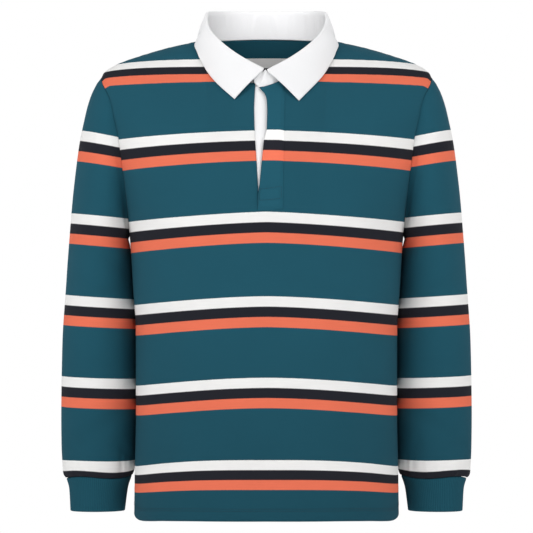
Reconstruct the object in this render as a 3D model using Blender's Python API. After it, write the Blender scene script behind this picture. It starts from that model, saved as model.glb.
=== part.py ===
"""Long-sleeved striped rugby shirt, filled out as it is worn.

The front faces -Y, +Z is up and the wearer's left arm is on the +X side. The origin is
midway between the two points where the shoulder seams reach the neck, so the cloth
hangs below it. Tables and sizes are in millimetres and degrees. Meshes are in metres.
"""
import math

import bmesh
import bpy
import numpy as np

METRES = 0.001

# Cloth.
JERSEY = 1.4            # heavy jersey of the body and sleeves
HEM_CLOTH = 2.6         # the same jersey turned up and sewn down
RIB = 2.4               # doubled rib of the cuffs
RIB_DEPTH = 0.45        # of the grooves between the ribs
RIBS = 96               # round a cuff
DRILL = 1.5             # collar and under placket
BAND_CLOTH = 2.0        # folded placket band
GAP = 0.3               # between pieces that are sewn together
LAY_GAP = 0.6           # between the placket's layers and the front

# Heights of the main points, below the neck points of the shoulders.
SHOULDER_POINT = -53.5
ARMPIT = -292.5
CHEST = -185.0          # the body starts to curve in to the shoulders here
HEM = -708.0
HEM_TURN_UP = 20.0
HEM_DROP_START = -640.0     # the cloth starts to hang lower at the sides here
HEM_DROP = (
    # out from the middle, how far the hem hangs below its height in the middle
    (0.0, 0.0),
    (100.0, 0.6),
    (150.0, 2.1),
    (175.0, 4.2),
    (185.0, 4.9),
    (190.0, 4.3),
    (194.0, 2.4),
    (197.0, -0.6),
    (198.3, -2.6),
)

# Widths across, from the middle.
NECK_POINT_X = 97.0
SHOULDER_POINT_X = 247.5

# Body: its side edge is the armhole seam above the armpit and the side seam below it.
# The oval is the rounder shape that the armhole cuts short.
BODY = (
    # height, side edge, oval, front depth, back depth
    (60.0, 252.0, 290.0, 96.0, 96.0),
    (0.0, 250.0, 283.0, 104.0, 100.0),
    (-53.5, 247.5, 275.0, 112.0, 107.0),
    (-91.5, 231.5, 262.0, 119.0, 114.0),
    (-120.0, 225.5, 249.0, 124.0, 119.0),
    (-142.5, 220.5, 240.0, 128.0, 122.0),
    (-172.5, 216.5, 232.5, 132.0, 125.0),
    (-217.5, 211.0, 220.5, 137.0, 126.0),
    (-261.0, 207.0, 210.0, 140.0, 125.0),
    (-292.5, 205.0, 205.0, 141.0, 123.0),
    (-375.0, 199.5, 199.5, 139.0, 119.0),
    (-430.0, 196.0, 196.0, 137.0, 119.0),
    (-560.0, 195.8, 195.8, 137.0, 124.0),
    (-640.0, 197.4, 197.4, 138.5, 128.0),
    (-708.0, 198.3, 198.3, 140.0, 130.0),
)
EDGE, OVAL, FRONT_DEPTH, BACK_DEPTH = 1, 2, 3, 4
ROUNDNESS = 2.35        # power of the body's oval, 2 for an ellipse

# Shoulder seam, and the heights it would reach over the neck from front and back.
SHOULDER = (
    # out from the middle, height in front, height behind
    (0.0, 34.0, 60.0),
    (60.0, 14.0, 27.0),
    (97.0, 3.5, 3.5),
    (108.0, 0.7, 0.7),
    (146.0, -8.0, -8.0),
    (190.0, -21.0, -21.0),
    (223.0, -33.0, -33.0),
    (243.0, -45.5, -45.5),
    (247.5, -53.5, -53.5),
)
NECK_ROLL_FRONT = 1.55  # power of the slope from the chest to the neck
NECK_ROLL_BACK = 2.4
POINT_ROLL = 2.1        # the same at the shoulder points

# Neckline.
NECK_POINT_Z = 3.5
FRONT_NECK_DROP = 75.0
BACK_NECK_RISE = 4.0
NECK_LEAN = 0.3         # slope across the closed front of the neck
SLIT_NECK_RISE = 9.0    # the neck edge on the under side of the slit is this much higher
SLIT_NECK_REACH = 44.0      # and comes down to the neckline this far out

# Grid of the body's panels.
ARMHOLE_STEPS = 12
BODY_HEIGHTS = (
    -313.0, -340.0, -380.0, -425.0, -475.0, -525.0, -575.0, -620.0, -660.0, -688.0, HEM,
)
SIDE_COLUMNS = 10
NECK_TURNS = (81.0, 72.0, 54.0, 36.0, 18.0)     # columns round the neck, to the middle
SLIT_COLUMN = SIDE_COLUMNS + len(NECK_TURNS) + 1    # column of the front's slit edge

# Sleeve: outer and inner ends of each ring as seen from the front, half depth front to
# back, and how far the ring has gone from the armhole's shape (0) to an oval (1).
SLEEVE = (
    # outer x, outer z, inner x, inner z, half depth, oval share, how far back it leans
    (254.0, -62.0, 205.8, -293.6, 60.0, 0.14, 0.0),
    (261.5, -77.0, 206.2, -294.7, 62.0, 0.30, 0.0),
    (268.0, -96.0, 206.5, -295.8, 64.0, 0.46, 0.0),
    (274.0, -121.0, 206.6, -297.0, 66.0, 0.62, 1.0),
    (279.4, -152.0, 206.4, -298.6, 67.5, 0.78, 3.0),
    (284.5, -190.0, 205.8, -301.0, 68.0, 0.90, 6.0),
    (290.0, -234.0, 205.0, -305.0, 68.0, 1.00, 10.0),
    (294.4, -280.0, 204.1, -313.0, 67.0, 1.00, 14.0),
    (298.7, -332.0, 201.4, -340.0, 64.0, 1.00, 18.0),
    (302.5, -386.2, 198.4, -388.2, 60.0, 1.00, 21.0),
    (305.5, -445.5, 195.7, -445.5, 56.0, 1.00, 22.0),
    (308.1, -505.7, 195.4, -505.7, 53.0, 1.00, 22.0),
    (309.2, -561.0, 195.4, -561.0, 50.0, 1.00, 22.0),
    (308.5, -603.2, 196.2, -603.2, 48.0, 1.00, 22.0),
    (306.3, -633.3, 197.2, -632.3, 46.0, 1.00, 22.0),
    (304.9, -646.4, 199.6, -645.4, 43.5, 1.00, 22.0),
    (301.9, -653.0, 202.2, -652.0, 41.2, 1.00, 22.0),
)
CUFF = (
    # outer x, outer z, inner x, inner z, half depth
    (301.5, -653.7, 202.6, -652.7, 40.9),
    (297.3, -669.5, 208.3, -669.0, 37.5),
    (295.3, -704.6, 213.3, -704.2, 34.0),
)
CUFF_MIDDLE_Y = 22.0

# Placket, seen from the front: the slit's edge, the band's folded edge and its seam.
PLACKET = (
    # height, slit edge, folded edge, seam
    (-255.0, -11.0, -12.8, 23.7),
    (-231.0, -12.0, -12.5, 24.1),
    (-222.0, -12.4, -11.1, 24.2),
    (-182.0, -14.8, -6.8, 25.0),
    (-152.0, -16.8, -3.5, 25.6),
    (-136.0, -17.6, 0.3, 26.0),
    (-108.0, -18.2, 0.9, 26.6),
    (-94.0, -17.7, 0.3, 26.9),
    (-84.0, -17.2, -2.9, 27.2),
    (-73.0, -16.7, -11.0, 27.5),
    (-60.0, -16.5, -14.0, 27.8),
)
SLIT_EDGE, FOLDED_EDGE, BAND_SEAM = 1, 2, 3
BAND_COLUMNS = 4
BAND_UNDERCUT = 7.0     # the front's own edge lies this far under the folded edge
UNDER_PLACKET_LAP = 12.0
# How far each column of the under placket runs up, behind the stand's over end.
UNDER_TOP_RISE = (7.0, 9.0, 8.0, 2.5, 0.0)
# Rows of the front's grid, counted down from the neck, at which things start and end.
SLIT_FOOT_ROW = 8
STRIP_TOP_ROW = 0.45
BAND_FOOT_ROW = 8.75
UNDER_FOOT_ROW = 9.1

# Collar: where its fold runs, and the height of its edge where that lies on the shirt.
COLLAR_MIDDLE_Y = -6.0
COLLAR_FOLD_X = 87.5
COLLAR_FOLD_Y = 74.0
COLLAR_FOLD = (
    # turn from the front, height of the fold
    (0.0, -46.0),
    (22.0, -28.0),
    (56.0, 4.7),
    (79.0, 27.0),
    (90.0, 39.0),
    (104.0, 46.5),
    (130.0, 49.5),
    (180.0, 51.0),
)
COLLAR_EDGE = (
    # turn from the front, height of the edge
    (28.2, -93.0),
    (47.5, -66.1),
    (57.0, -51.3),
    (63.0, -40.8),
    (69.0, -30.3),
    (76.0, -18.0),
    (82.0, -9.2),
    (86.5, -3.2),
    (92.0, 1.1),
    (99.0, 0.8),
    (110.0, -2.0),
    (135.0, -12.0),
    (180.0, -13.0),
)
FALL_START = 2.2        # turn at which the fall starts on the wearer's right
FALL_END = 359.2        # and ends on the wearer's left
POINT_TURN = 28.2       # turn of the collar's points
LEFT_POINT_DROP = 2.4   # the point on the wearer's left hangs this much lower
LEFT_DROP_REACH = 20.0  # over this turn from the point
COLLAR_STEP = 9.0       # turn between the collar's columns
FALL_ROLL = (
    # out from the fold, down from the fold
    (0.0, 6.0),
    (0.2, 2.6),
    (1.3, 0.6),
    (2.8, 0.0),
    (4.4, 0.8),
    (5.6, 3.2),
)
FALL_ROWS = 5
FALL_BULGE = 3.0
FALL_LIFT = 2.6         # outer face of the fall's edge above the shirt
STAND_UNDER_END = (-9.0, -3.0)           # turns of the columns past the fall's start
STAND_OVER_END = (
    # turn past the fall's end, top edge down from the fold, foot up from the neck seam
    (360.1, 1.0, 0.0),
    (361.0, 1.0, 0.0),
    (362.0, 6.3, 0.0),
    (365.7, 8.0, 0.3),
    (368.3, 11.0, 4.6),
    (370.1, 16.0, 9.3),
)
STAND_ROWS = 3
STAND_LAP = 4.7         # the under end lies this much nearer the neck
STAND_LAP_START = 14.0
STAND_LAP_END = 60.0

# Soft folds seen from in front (-1) or behind (+1).
FOLDS = (
    # side, start x, start z, end x, end z, half width, depth
    (-1, -196.0, -262.0, -128.0, -330.0, 20.0, 3.0),
    (-1, 196.0, -266.0, 120.0, -340.0, 21.0, 3.0),
    (-1, -152.0, -420.0, -160.0, -640.0, 22.0, 3.0),
    (-1, 158.0, -460.0, 148.0, -690.0, 22.0, 3.0),
    (1, -190.0, -240.0, -130.0, -330.0, 24.0, 3.5),
    (1, 190.0, -235.0, 122.0, -345.0, 25.0, 3.5),
    (1, -70.0, -430.0, -88.0, -670.0, 26.0, 3.5),
    (1, 82.0, -400.0, 70.0, -650.0, 26.0, 3.5),
    (-1, -290.0, -372.0, -225.0, -404.0, 16.0, 2.5),
    (-1, 288.0, -360.0, 226.0, -396.0, 16.0, 2.5),
    (-1, -222.0, -560.0, -292.0, -610.0, 15.0, 2.5),
    (-1, 224.0, -556.0, 290.0, -598.0, 15.0, 2.5),
    (1, -290.0, -380.0, -228.0, -360.0, 16.0, 2.5),
    (1, 290.0, -376.0, 228.0, -352.0, 16.0, 2.5),
)

# Colours of the solids.
TEAL = (0.017, 0.087, 0.120, 1.0)
WHITE = (0.88, 0.88, 0.90, 1.0)


def clear_scene():
    for scene_object in list(bpy.data.objects):
        bpy.data.objects.remove(scene_object)


def cloth_material(name, colour, roughness):
    material = bpy.data.materials.new(name)
    material.use_nodes = True
    shader = material.node_tree.nodes["Principled BSDF"]
    shader.inputs["Base Color"].default_value = colour
    shader.inputs["Roughness"].default_value = roughness
    shader.inputs["Metallic"].default_value = 0.0
    return material


def profile(table, column, at):
    """Value of a table's column at places of its first column, on a smooth curve."""
    rows = np.array(sorted(table), float)
    place, value = rows[:, 0], rows[:, column]
    step = np.diff(place)
    slope = np.diff(value) / step
    tangent = np.concatenate(([slope[0]], np.zeros(len(slope) - 1), [slope[-1]]))
    for i in range(1, len(slope)):
        if slope[i - 1] * slope[i] > 0:
            tangent[i] = 2 * slope[i - 1] * slope[i] / (slope[i - 1] + slope[i])
    at = np.clip(at, place[0], place[-1])
    cell = np.clip(np.searchsorted(place, at, side="right") - 1, 0, len(step) - 1)
    t = (at - place[cell]) / step[cell]
    ease = t * t * (3 - 2 * t)
    leaving = t * (1 - t) ** 2 * step[cell] * tangent[cell]
    arriving = t * t * (t - 1) * step[cell] * tangent[cell + 1]
    return value[cell] + (value[cell + 1] - value[cell]) * ease + leaving + arriving


def mix(start, end, share):
    return start + (end - start) * share


def unit(vectors):
    return vectors / np.linalg.norm(vectors, axis=-1, keepdims=True)


def stack(x, y, z):
    return np.stack(np.broadcast_arrays(x, y, z), axis=-1).astype(float)


# The body's surface ---------------------------------------------------------------------

def body_y(x, z, side):
    """Depth of the front (side -1) or back (side +1) at a place seen from the front."""
    x = np.abs(x)
    oval = profile(BODY, OVAL, z)
    deep = profile(BODY, FRONT_DEPTH if side < 0 else BACK_DEPTH, z)
    across = (1 - np.clip(x / oval, 0, 1) ** ROUNDNESS) ** (1 / ROUNDNESS)
    top = profile(SHOULDER, 1 if side < 0 else 2, x)
    neck_roll = NECK_ROLL_FRONT if side < 0 else NECK_ROLL_BACK
    from_neck = np.clip((x - NECK_POINT_X) / (SHOULDER_POINT_X - NECK_POINT_X), 0, 1)
    power = mix(neck_roll, POINT_ROLL, from_neck)
    rise = np.clip((z - CHEST) / (top - CHEST), 0, 1)
    return side * deep * across * (1 - rise ** power) ** (1 / power)


def body_normal(x, z, side):
    small = 0.5
    by_x = (body_y(x + small, z, side) - body_y(x - small, z, side)) / (2 * small)
    by_z = (body_y(x, z + small, side) - body_y(x, z - small, side)) / (2 * small)
    return unit(stack(-side * by_x, side, -side * by_z))


def front_neck_z(x):
    inward = 1 - np.clip(np.abs(x) / NECK_POINT_X, 0, 1) ** 2
    return NECK_POINT_Z - FRONT_NECK_DROP * inward ** 0.8 + NECK_LEAN * x * inward ** 2


def back_neck_z(x):
    inward = 1 - np.clip(np.abs(x) / NECK_POINT_X, 0, 1) ** 2
    return NECK_POINT_Z + BACK_NECK_RISE * inward ** 2


def panel_top(x, side):
    """Upper edge of a panel: the neckline, then the shoulder seam."""
    neckline = front_neck_z(x) if side < 0 else back_neck_z(x)
    seam = profile(SHOULDER, 1, np.abs(x))
    return np.where(np.abs(x) < NECK_POINT_X - 0.01, neckline, seam)


def slit_neck_rise(x, slit):
    """Rise of the front's neck edge from the under side of the slit outwards."""
    away = np.clip((slit - x) / SLIT_NECK_REACH, 0, 1)
    return np.where(x < slit + 0.01, SLIT_NECK_RISE * (1 - away) ** 2 * (1 + 2 * away), 0.0)


def hem_drop(x, z):
    """How far the cloth hangs below the level rows near the hem."""
    near_hem = np.clip((HEM_DROP_START - z) / (HEM_DROP_START - HEM), 0, 1)
    return profile(HEM_DROP, 1, np.abs(x)) * near_hem ** 2 * (3 - 2 * near_hem)


def soft_folds(points, normals):
    """Sink the large soft folds into points seen from the front or the back."""
    for side, start_x, start_z, end_x, end_z, half_width, depth in FOLDS:
        start = np.array((start_x, start_z))
        run = np.array((end_x, end_z)) - start
        offset = points[..., (0, 2)] - start
        share = np.clip(offset @ run / (run @ run), 0, 1)
        away = np.linalg.norm(offset - share[..., None] * run, axis=-1)
        facing = np.clip(side * normals[..., 1], 0, 1) ** 0.5
        sink = depth * np.exp(-(away / half_width) ** 2) * facing
        points = points - sink[..., None] * normals
    return points


# Armhole --------------------------------------------------------------------------------

def armhole_steps():
    """Turns of the armhole's rows, from the shoulder point down to the armpit."""
    return np.arange(ARMHOLE_STEPS + 1) * math.pi / ARMHOLE_STEPS


def armhole_share(turn):
    """Share of the armhole's height, 1 at the shoulder point and 0 at the armpit."""
    return (1 + np.cos(turn)) / 2


def armhole_seam(arm, side):
    """Seam points from the shoulder point to the armpit, and the way that they face."""
    turn = armhole_steps()
    z = mix(ARMPIT, SHOULDER_POINT, armhole_share(turn))
    x = profile(BODY, EDGE, z)
    y = body_y(x, z, side)
    y[0] = y[-1] = 0.0
    facing = unit(stack(0.55 * arm * armhole_share(turn), side * np.sin(turn), 0.9 * np.cos(turn)))
    return stack(arm * x, y, z), facing


def across_seam(points, facing, arm):
    """Direction along the cloth across the armhole seam, towards the sleeve."""
    along = unit(np.gradient(points, axis=0))
    across = unit(np.cross(facing, along))
    return across * np.sign(across[len(points) // 2, 0]) * arm


# Walls of cloth -------------------------------------------------------------------------

def cloth_wall(name, outer, facing, thickness, material, left_out=(), closed=False):
    """A solid wall of cloth inside a grid of outer points.

    The grid's rows run down the piece. A closed grid joins its last column to its first.
    left_out holds the (row, column) cells that are open.
    """
    rows, columns = outer.shape[:2]
    depth = np.broadcast_to(np.asarray(thickness, float), (rows, columns))
    inner = outer - facing * depth[..., None]
    mesh = bmesh.new()
    outer_points = [[mesh.verts.new(p * METRES) for p in row] for row in outer]
    inner_points = [[mesh.verts.new(p * METRES) for p in row] for row in inner]
    outer_faces = []
    for row in range(rows - 1):
        for column in range(columns if closed else columns - 1):
            if (row, column) in left_out:
                continue
            beside = (column + 1) % columns
            places = ((row, column), (row + 1, column), (row + 1, beside), (row, beside))
            outer_faces.append(mesh.faces.new([outer_points[r][c] for r, c in places]))
            mesh.faces.new([inner_points[r][c] for r, c in reversed(places)])
    partner = {}
    for outer_row, inner_row in zip(outer_points, inner_points):
        partner.update(zip(outer_row, inner_row))
    rim = {edge for face in outer_faces for edge in face.edges if len(edge.link_faces) == 1}
    for edge in rim:
        loop = edge.link_loops[0]
        first, second = loop.vert, loop.link_loop_next.vert
        mesh.faces.new((second, first, partner[first], partner[second]))
    bmesh.ops.delete(mesh, geom=[v for v in mesh.verts if not v.link_faces], context="VERTS")
    bmesh.ops.recalc_face_normals(mesh, faces=mesh.faces)
    data = bpy.data.meshes.new(name)
    mesh.to_mesh(data)
    mesh.free()
    data.shade_smooth()
    data.set_sharp_from_angle(angle=math.radians(50))
    data.materials.append(material)
    piece = bpy.data.objects.new(name, data)
    bpy.context.collection.objects.link(piece)
    return piece


def grid_facing(points, closed=False):
    """Unit normals of a grid whose rows run down and whose columns run anticlockwise."""
    down = np.gradient(points, axis=0)
    if closed:
        beside = (np.roll(points, -1, axis=1) - np.roll(points, 1, axis=1)) / 2
    else:
        beside = np.gradient(points, axis=1)
    return unit(np.cross(down, beside))


# Front and back -------------------------------------------------------------------------

def panel_columns():
    """Shares of the half width for the columns from the side to the neck point."""
    neck_turn = math.asin(NECK_POINT_X / SHOULDER_POINT_X)
    return np.sin(np.linspace(math.pi / 2, neck_turn, SIDE_COLUMNS + 1))


def panel_rows():
    """For each row: share of the armhole's height, and height of a row below it."""
    rows = [(share, ARMPIT) for share in armhole_share(armhole_steps())]
    return rows + [(0.0, height) for height in BODY_HEIGHTS]


def panel_grid(side, risen):
    """Outer points of a panel, from the neck and shoulders down to the hem."""
    shares = panel_columns()
    neck_turn = np.radians(NECK_TURNS)
    rows = []
    for up, height in panel_rows():
        edge_z = mix(height, SHOULDER_POINT, up)
        edge = profile(BODY, EDGE, edge_z)
        middle_z = mix(height, panel_top(np.array(0.0), side), up)
        if side < 0:
            slit = profile(PLACKET, SLIT_EDGE, middle_z)
            lap = profile(PLACKET, FOLDED_EDGE, middle_z) + BAND_UNDERCUT
        else:
            slit = lap = 0.0
        outer = shares * edge
        inner = outer[-1] * np.sin(neck_turn)
        middle = (slit, lap) if side < 0 else (0.0,)
        x = np.concatenate((-outer, -inner, middle, inner[::-1], outer[::-1]))
        top = panel_top(x * SHOULDER_POINT_X / edge, side)
        if risen:
            top = top + slit_neck_rise(x, slit)
        z = mix(height, top, up)
        rows.append(stack(x, body_y(x, z, side), z - hem_drop(x, z)))
    return np.array(rows)


def panel_cloth(side, risen=False):
    """Outer points of a panel and the way that they face, with its seams and folds.

    The neck edge is level on both sides of the slit, or risen on its under side.
    """
    outer = panel_grid(side, risen)
    facing = body_normal(outer[..., 0], outer[..., 2], side)
    neck_column = SIDE_COLUMNS
    for arm, column, seam_columns in (
        (-1, 0, range(0, neck_column + 1)),
        (1, -1, range(-neck_column - 1, 0)),
    ):
        # The cloth faces straight out of the shirt along its shoulder and side seams.
        for seam_column in seam_columns:
            facing[0, seam_column] = unit(facing[0, seam_column] * (1, 0, 1))
        facing[:, column] = (arm, 0, 0)
        seam, seam_facing = armhole_seam(arm, side)
        across = across_seam(seam, seam_facing, arm)
        facing[: len(seam), column] = seam_facing
        outer[: len(seam), column] = seam - across * GAP / 2
        # Front and back stand a seam's gap apart.
        outer[len(seam) - 1:, column, 1] = side * GAP / 2
        outer[0, list(seam_columns), 1] = side * GAP / 2
    folded = soft_folds(outer, facing)
    outer[1:-1, 1:-1] = folded[1:-1, 1:-1]
    return outer, facing


def panel(name, side, material):
    outer, facing = panel_cloth(side, risen=side < 0)
    thickness = np.full(outer.shape[:2], JERSEY)
    thickness[BODY_HEIGHTS.index(HEM + HEM_TURN_UP) - len(BODY_HEIGHTS):] = HEM_CLOTH
    slit_cells = ()
    if side < 0:
        slit_cells = {(row, SLIT_COLUMN) for row in range(SLIT_FOOT_ROW)}
    return cloth_wall(name, outer, facing, thickness, material, slit_cells)


# Sleeves and cuffs ----------------------------------------------------------------------

def sleeve_rings(arm):
    """Outer points of a sleeve, ring by ring from the armhole to the wrist."""
    front, front_facing = armhole_seam(arm, -1)
    back, back_facing = armhole_seam(arm, 1)
    seam = np.concatenate((front, back[-2:0:-1]))
    seam_facing = np.concatenate((front_facing, back_facing[-2:0:-1]))
    across = np.concatenate((
        across_seam(front, front_facing, arm),
        across_seam(back, back_facing, arm)[-2:0:-1],
    ))
    turn = np.arange(2 * ARMHOLE_STEPS) * math.pi / ARMHOLE_STEPS
    straight = oval_ring(
        arm, (SHOULDER_POINT_X, SHOULDER_POINT, front[-1, 0] * arm, ARMPIT, 0.0), 0.0, turn
    )
    rings = [seam + across * GAP / 2]
    for *row, half_depth, oval_share, middle_y in SLEEVE:
        oval = oval_ring(arm, (*row, half_depth), middle_y, turn)
        armhole_shape = oval + (seam - straight)
        armhole_shape[:, 1] = seam[:, 1] * half_depth / np.abs(seam[:, 1]).max() + middle_y
        rings.append(mix(armhole_shape, oval, oval_share))
    return np.array(rings), seam_facing


def oval_ring(arm, row, middle_y, turn):
    """A ring seen edge-on from the front, from its outer end round by the front."""
    outer_x, outer_z, inner_x, inner_z, half_depth = row
    middle_x, middle_z = (outer_x + inner_x) / 2, (outer_z + inner_z) / 2
    x = arm * (middle_x + (outer_x - inner_x) / 2 * np.cos(turn))
    z = middle_z + (outer_z - inner_z) / 2 * np.cos(turn)
    return stack(x, middle_y - half_depth * np.sin(turn), z)


def tube_facing(rings, arm):
    """Outward normals of a tube of rings that turn by the front first."""
    return grid_facing(rings, closed=True) * -arm


def sleeve(name, arm, material):
    rings, seam_facing = sleeve_rings(arm)
    facing = tube_facing(rings, arm)
    facing[0] = seam_facing
    folded = soft_folds(rings, facing)
    rings[2:-1] = folded[2:-1]
    return cloth_wall(name, rings, facing, JERSEY, material, closed=True)


def cuff(name, arm, material):
    """A ribbed tube: a ridge and a groove for each rib outside, and plain inside."""
    turn = np.arange(2 * RIBS) * math.pi / RIBS
    rings = np.array([oval_ring(arm, row, CUFF_MIDDLE_Y, turn) for row in CUFF])
    facing = tube_facing(rings, arm)
    groove = np.broadcast_to(np.arange(2 * RIBS) % 2 * RIB_DEPTH, rings.shape[:2])
    outer = rings - facing * groove[..., None]
    return cloth_wall(name, outer, facing, RIB - groove, material, closed=True)


# Placket --------------------------------------------------------------------------------

def along_row(row, x, values):
    """Values of a row of the grid at the given places across it."""
    return np.stack([np.interp(x, row[:, 0], values[:, axis]) for axis in range(3)], axis=-1)


def placket_strip(left, right, foot_row, lift, top_rise=None):
    """Points over or under the front between two edges, moved out by lift."""
    front, front_facing = panel_cloth(-1)
    share = np.linspace(0, 1, BAND_COLUMNS + 1)
    outer, facing = [], []
    for row in (STRIP_TOP_ROW, *range(1, math.ceil(foot_row)), foot_row):
        upper = math.floor(row)
        down = row - upper
        guide_z = mix(*front[upper:upper + 2, SLIT_COLUMN:SLIT_COLUMN + 2, 2].mean(axis=1), down)
        x = mix(left(guide_z), right(guide_z), share)
        points, ways = (
            mix(
                along_row(front[upper], x, values[upper]),
                along_row(front[upper + 1], x, values[upper + 1]),
                down,
            )
            for values in (front, front_facing)
        )
        outer.append(points + ways * lift)
        facing.append(ways)
    outer, facing = np.array(outer), np.array(facing)
    if top_rise:
        risen = outer[:1] + unit(outer[:1] - outer[1:2]) * np.array(top_rise)[:, None]
        outer, facing = np.concatenate((risen, outer)), np.concatenate((facing[:1], facing))
    return outer, facing


def placket_band(material):
    outer, facing = placket_strip(
        lambda z: profile(PLACKET, FOLDED_EDGE, z),
        lambda z: profile(PLACKET, BAND_SEAM, z),
        BAND_FOOT_ROW, LAY_GAP + BAND_CLOTH,
    )
    return cloth_wall("placket_band", outer, facing, BAND_CLOTH, material)


def placket_under(material):
    outer, facing = placket_strip(
        lambda z: profile(PLACKET, SLIT_EDGE, z) - UNDER_PLACKET_LAP,
        lambda z: profile(PLACKET, FOLDED_EDGE, z) + BAND_UNDERCUT + UNDER_PLACKET_LAP,
        UNDER_FOOT_ROW, -JERSEY - LAY_GAP, UNDER_TOP_RISE,
    )
    return cloth_wall("placket_under", outer, facing, DRILL, material)


# Collar ---------------------------------------------------------------------------------

def fall_turns():
    """Turns of the fall's columns, from the front round by the wearer's right."""
    between = np.arange(COLLAR_STEP, FALL_END, COLLAR_STEP)
    return np.concatenate(([FALL_START], between, [FALL_END]))


def half_turn(turn):
    """The turn from the front, by whichever side is nearer."""
    return np.abs((turn + 180) % 360 - 180)


def collar_edge_height(turn):
    near_left_point = np.clip(1 - (360 - POINT_TURN - turn) / LEFT_DROP_REACH, 0, 1)
    return profile(COLLAR_EDGE, 1, half_turn(turn)) - LEFT_POINT_DROP * near_left_point ** 2


def collar_fold(turn):
    angle = np.radians(turn)
    x = -COLLAR_FOLD_X * np.sin(angle)
    y = COLLAR_MIDDLE_Y - COLLAR_FOLD_Y * np.cos(angle)
    return stack(x, y, profile(COLLAR_FOLD, 1, half_turn(turn)))


def fold_frame(turn):
    """At each turn of the fold: the way out from the neck, and down square to the fold."""
    along = unit(collar_fold(turn + 0.5) - collar_fold(turn - 0.5))
    way_out = unit(np.cross((0.0, 0.0, 1.0), along))
    return way_out, np.cross(way_out, along)


def neck_seam(turn):
    """Points of the panels' neck edges at the given turns."""
    angle = np.radians(turn)
    x = -NECK_POINT_X * np.sin(angle)
    over, back = (panel_cloth(side)[0][0] for side in (-1, 1))
    under = panel_cloth(-1, risen=True)[0][0]
    past_middle, in_front = (turn > 180)[:, None], (np.cos(angle) > 0)[:, None]
    front = np.where(past_middle, along_row(over, x, over), along_row(under, x, under))
    return np.where(in_front, front, along_row(back, x, back))


def on_the_shirt(turn, height):
    """Where a level line out from the neck's middle meets the shirt, and its facing."""
    angle = np.radians(turn)
    near, far = np.full(turn.shape, 40.0), np.full(turn.shape, 140.0)
    for _ in range(40):
        reach = (near + far) / 2
        x = -reach * np.sin(angle)
        y = COLLAR_MIDDLE_Y - reach * np.cos(angle)
        cloth = np.where(y < 0, -body_y(x, height, -1), body_y(x, height, 1))
        inside = np.abs(y) < cloth
        near, far = np.where(inside, reach, near), np.where(inside, far, reach)
    in_front = (y < 0)[:, None]
    facing = np.where(in_front, body_normal(x, height, -1), body_normal(x, height, 1))
    return stack(x, y, height), facing


def collar_fall(material):
    turn = fall_turns()
    fold = collar_fold(turn)
    share = (turn - FALL_START) / (FALL_END - FALL_START)
    edge_turn = mix(POINT_TURN, 360 - POINT_TURN, share)
    edge, shirt_facing = on_the_shirt(edge_turn, collar_edge_height(edge_turn))
    edge = edge + shirt_facing * FALL_LIFT
    way_out, way_down = fold_frame(turn)
    rows = [fold + way_out * out + way_down * down for out, down in FALL_ROLL]
    rolled = rows[-1]
    bulge_way = unit(way_out + np.array((0.0, 0.0, 0.5)))
    for step in range(1, FALL_ROWS + 1):
        along = step / FALL_ROWS
        bulge = FALL_BULGE * math.sin(math.pi * along)
        rows.append(mix(rolled, edge, along) + bulge_way * bulge)
    outer = np.array(rows)
    return cloth_wall("collar_fall", outer, -grid_facing(outer), DRILL, material)


def collar_stand(material):
    over_turn, over_top, over_foot = np.array(STAND_OVER_END).T
    turn = np.concatenate((STAND_UNDER_END, fall_turns(), over_turn))
    below_fold = np.full(turn.shape, FALL_ROLL[0][1] + GAP)
    below_fold[-len(over_turn):] = over_top
    way_out, way_down = fold_frame(turn)
    top = collar_fold(turn) + way_down * below_fold[:, None] + way_out * DRILL
    foot = neck_seam(turn)
    foot[:, 2] += GAP
    foot[-len(over_turn):, 2] += over_foot
    lapped = np.clip((STAND_LAP_END - turn) / (STAND_LAP_END - STAND_LAP_START), 0, 1)
    stand_off = way_out * (STAND_LAP * lapped ** 2)[:, None]
    outer = np.array([
        mix(top, foot, along) - stand_off for along in np.linspace(0, 1, STAND_ROWS + 1)
    ])
    return cloth_wall("collar_stand", outer, -grid_facing(outer), DRILL, material)


def build():
    clear_scene()
    jersey = cloth_material("striped jersey", TEAL, 0.85)
    rib = cloth_material("rib", TEAL, 0.9)
    drill = cloth_material("white drill", WHITE, 0.8)
    panel("front", -1, jersey)
    panel("back", 1, jersey)
    for arm, hand in ((-1, "right"), (1, "left")):
        sleeve(f"sleeve_{hand}", arm, jersey)
        cuff(f"cuff_{hand}", arm, rib)
    collar_stand(drill)
    collar_fall(drill)
    placket_band(jersey)
    placket_under(drill)


build()
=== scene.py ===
"""Looks of a striped rugby shirt, filled out as it is worn.

The script is laid out as a Blender add-on. Each operator makes one piece of the shirt, or
one group of like pieces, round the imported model. Points are worked out in millimetres and
degrees, and meshes are in metres, in the model's own frame: the front faces -Y, +Z is up,
the wearer's left arm is on the +X side, and the origin is midway between the two points
where the shoulder seams reach the neck.
"""
import math

import bpy
import numpy as np
from bpy.props import FloatProperty, FloatVectorProperty, IntProperty, PointerProperty
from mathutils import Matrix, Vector


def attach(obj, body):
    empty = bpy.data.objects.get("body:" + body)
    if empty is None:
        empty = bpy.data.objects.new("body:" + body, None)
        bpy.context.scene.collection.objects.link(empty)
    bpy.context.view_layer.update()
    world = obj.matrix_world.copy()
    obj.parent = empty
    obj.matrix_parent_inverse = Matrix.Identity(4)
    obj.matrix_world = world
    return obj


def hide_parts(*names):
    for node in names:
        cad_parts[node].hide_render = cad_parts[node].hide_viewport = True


bl_info = {
    "name": "Striped Rugby Shirt",
    "version": (1, 0, 0),
    "blender": (4, 5, 0),
    "location": "View3D > Sidebar > Rugby Shirt",
    "description": "Makes the cloth, seams and stitching of a striped rugby shirt",
    "category": "Object",
}

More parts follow.
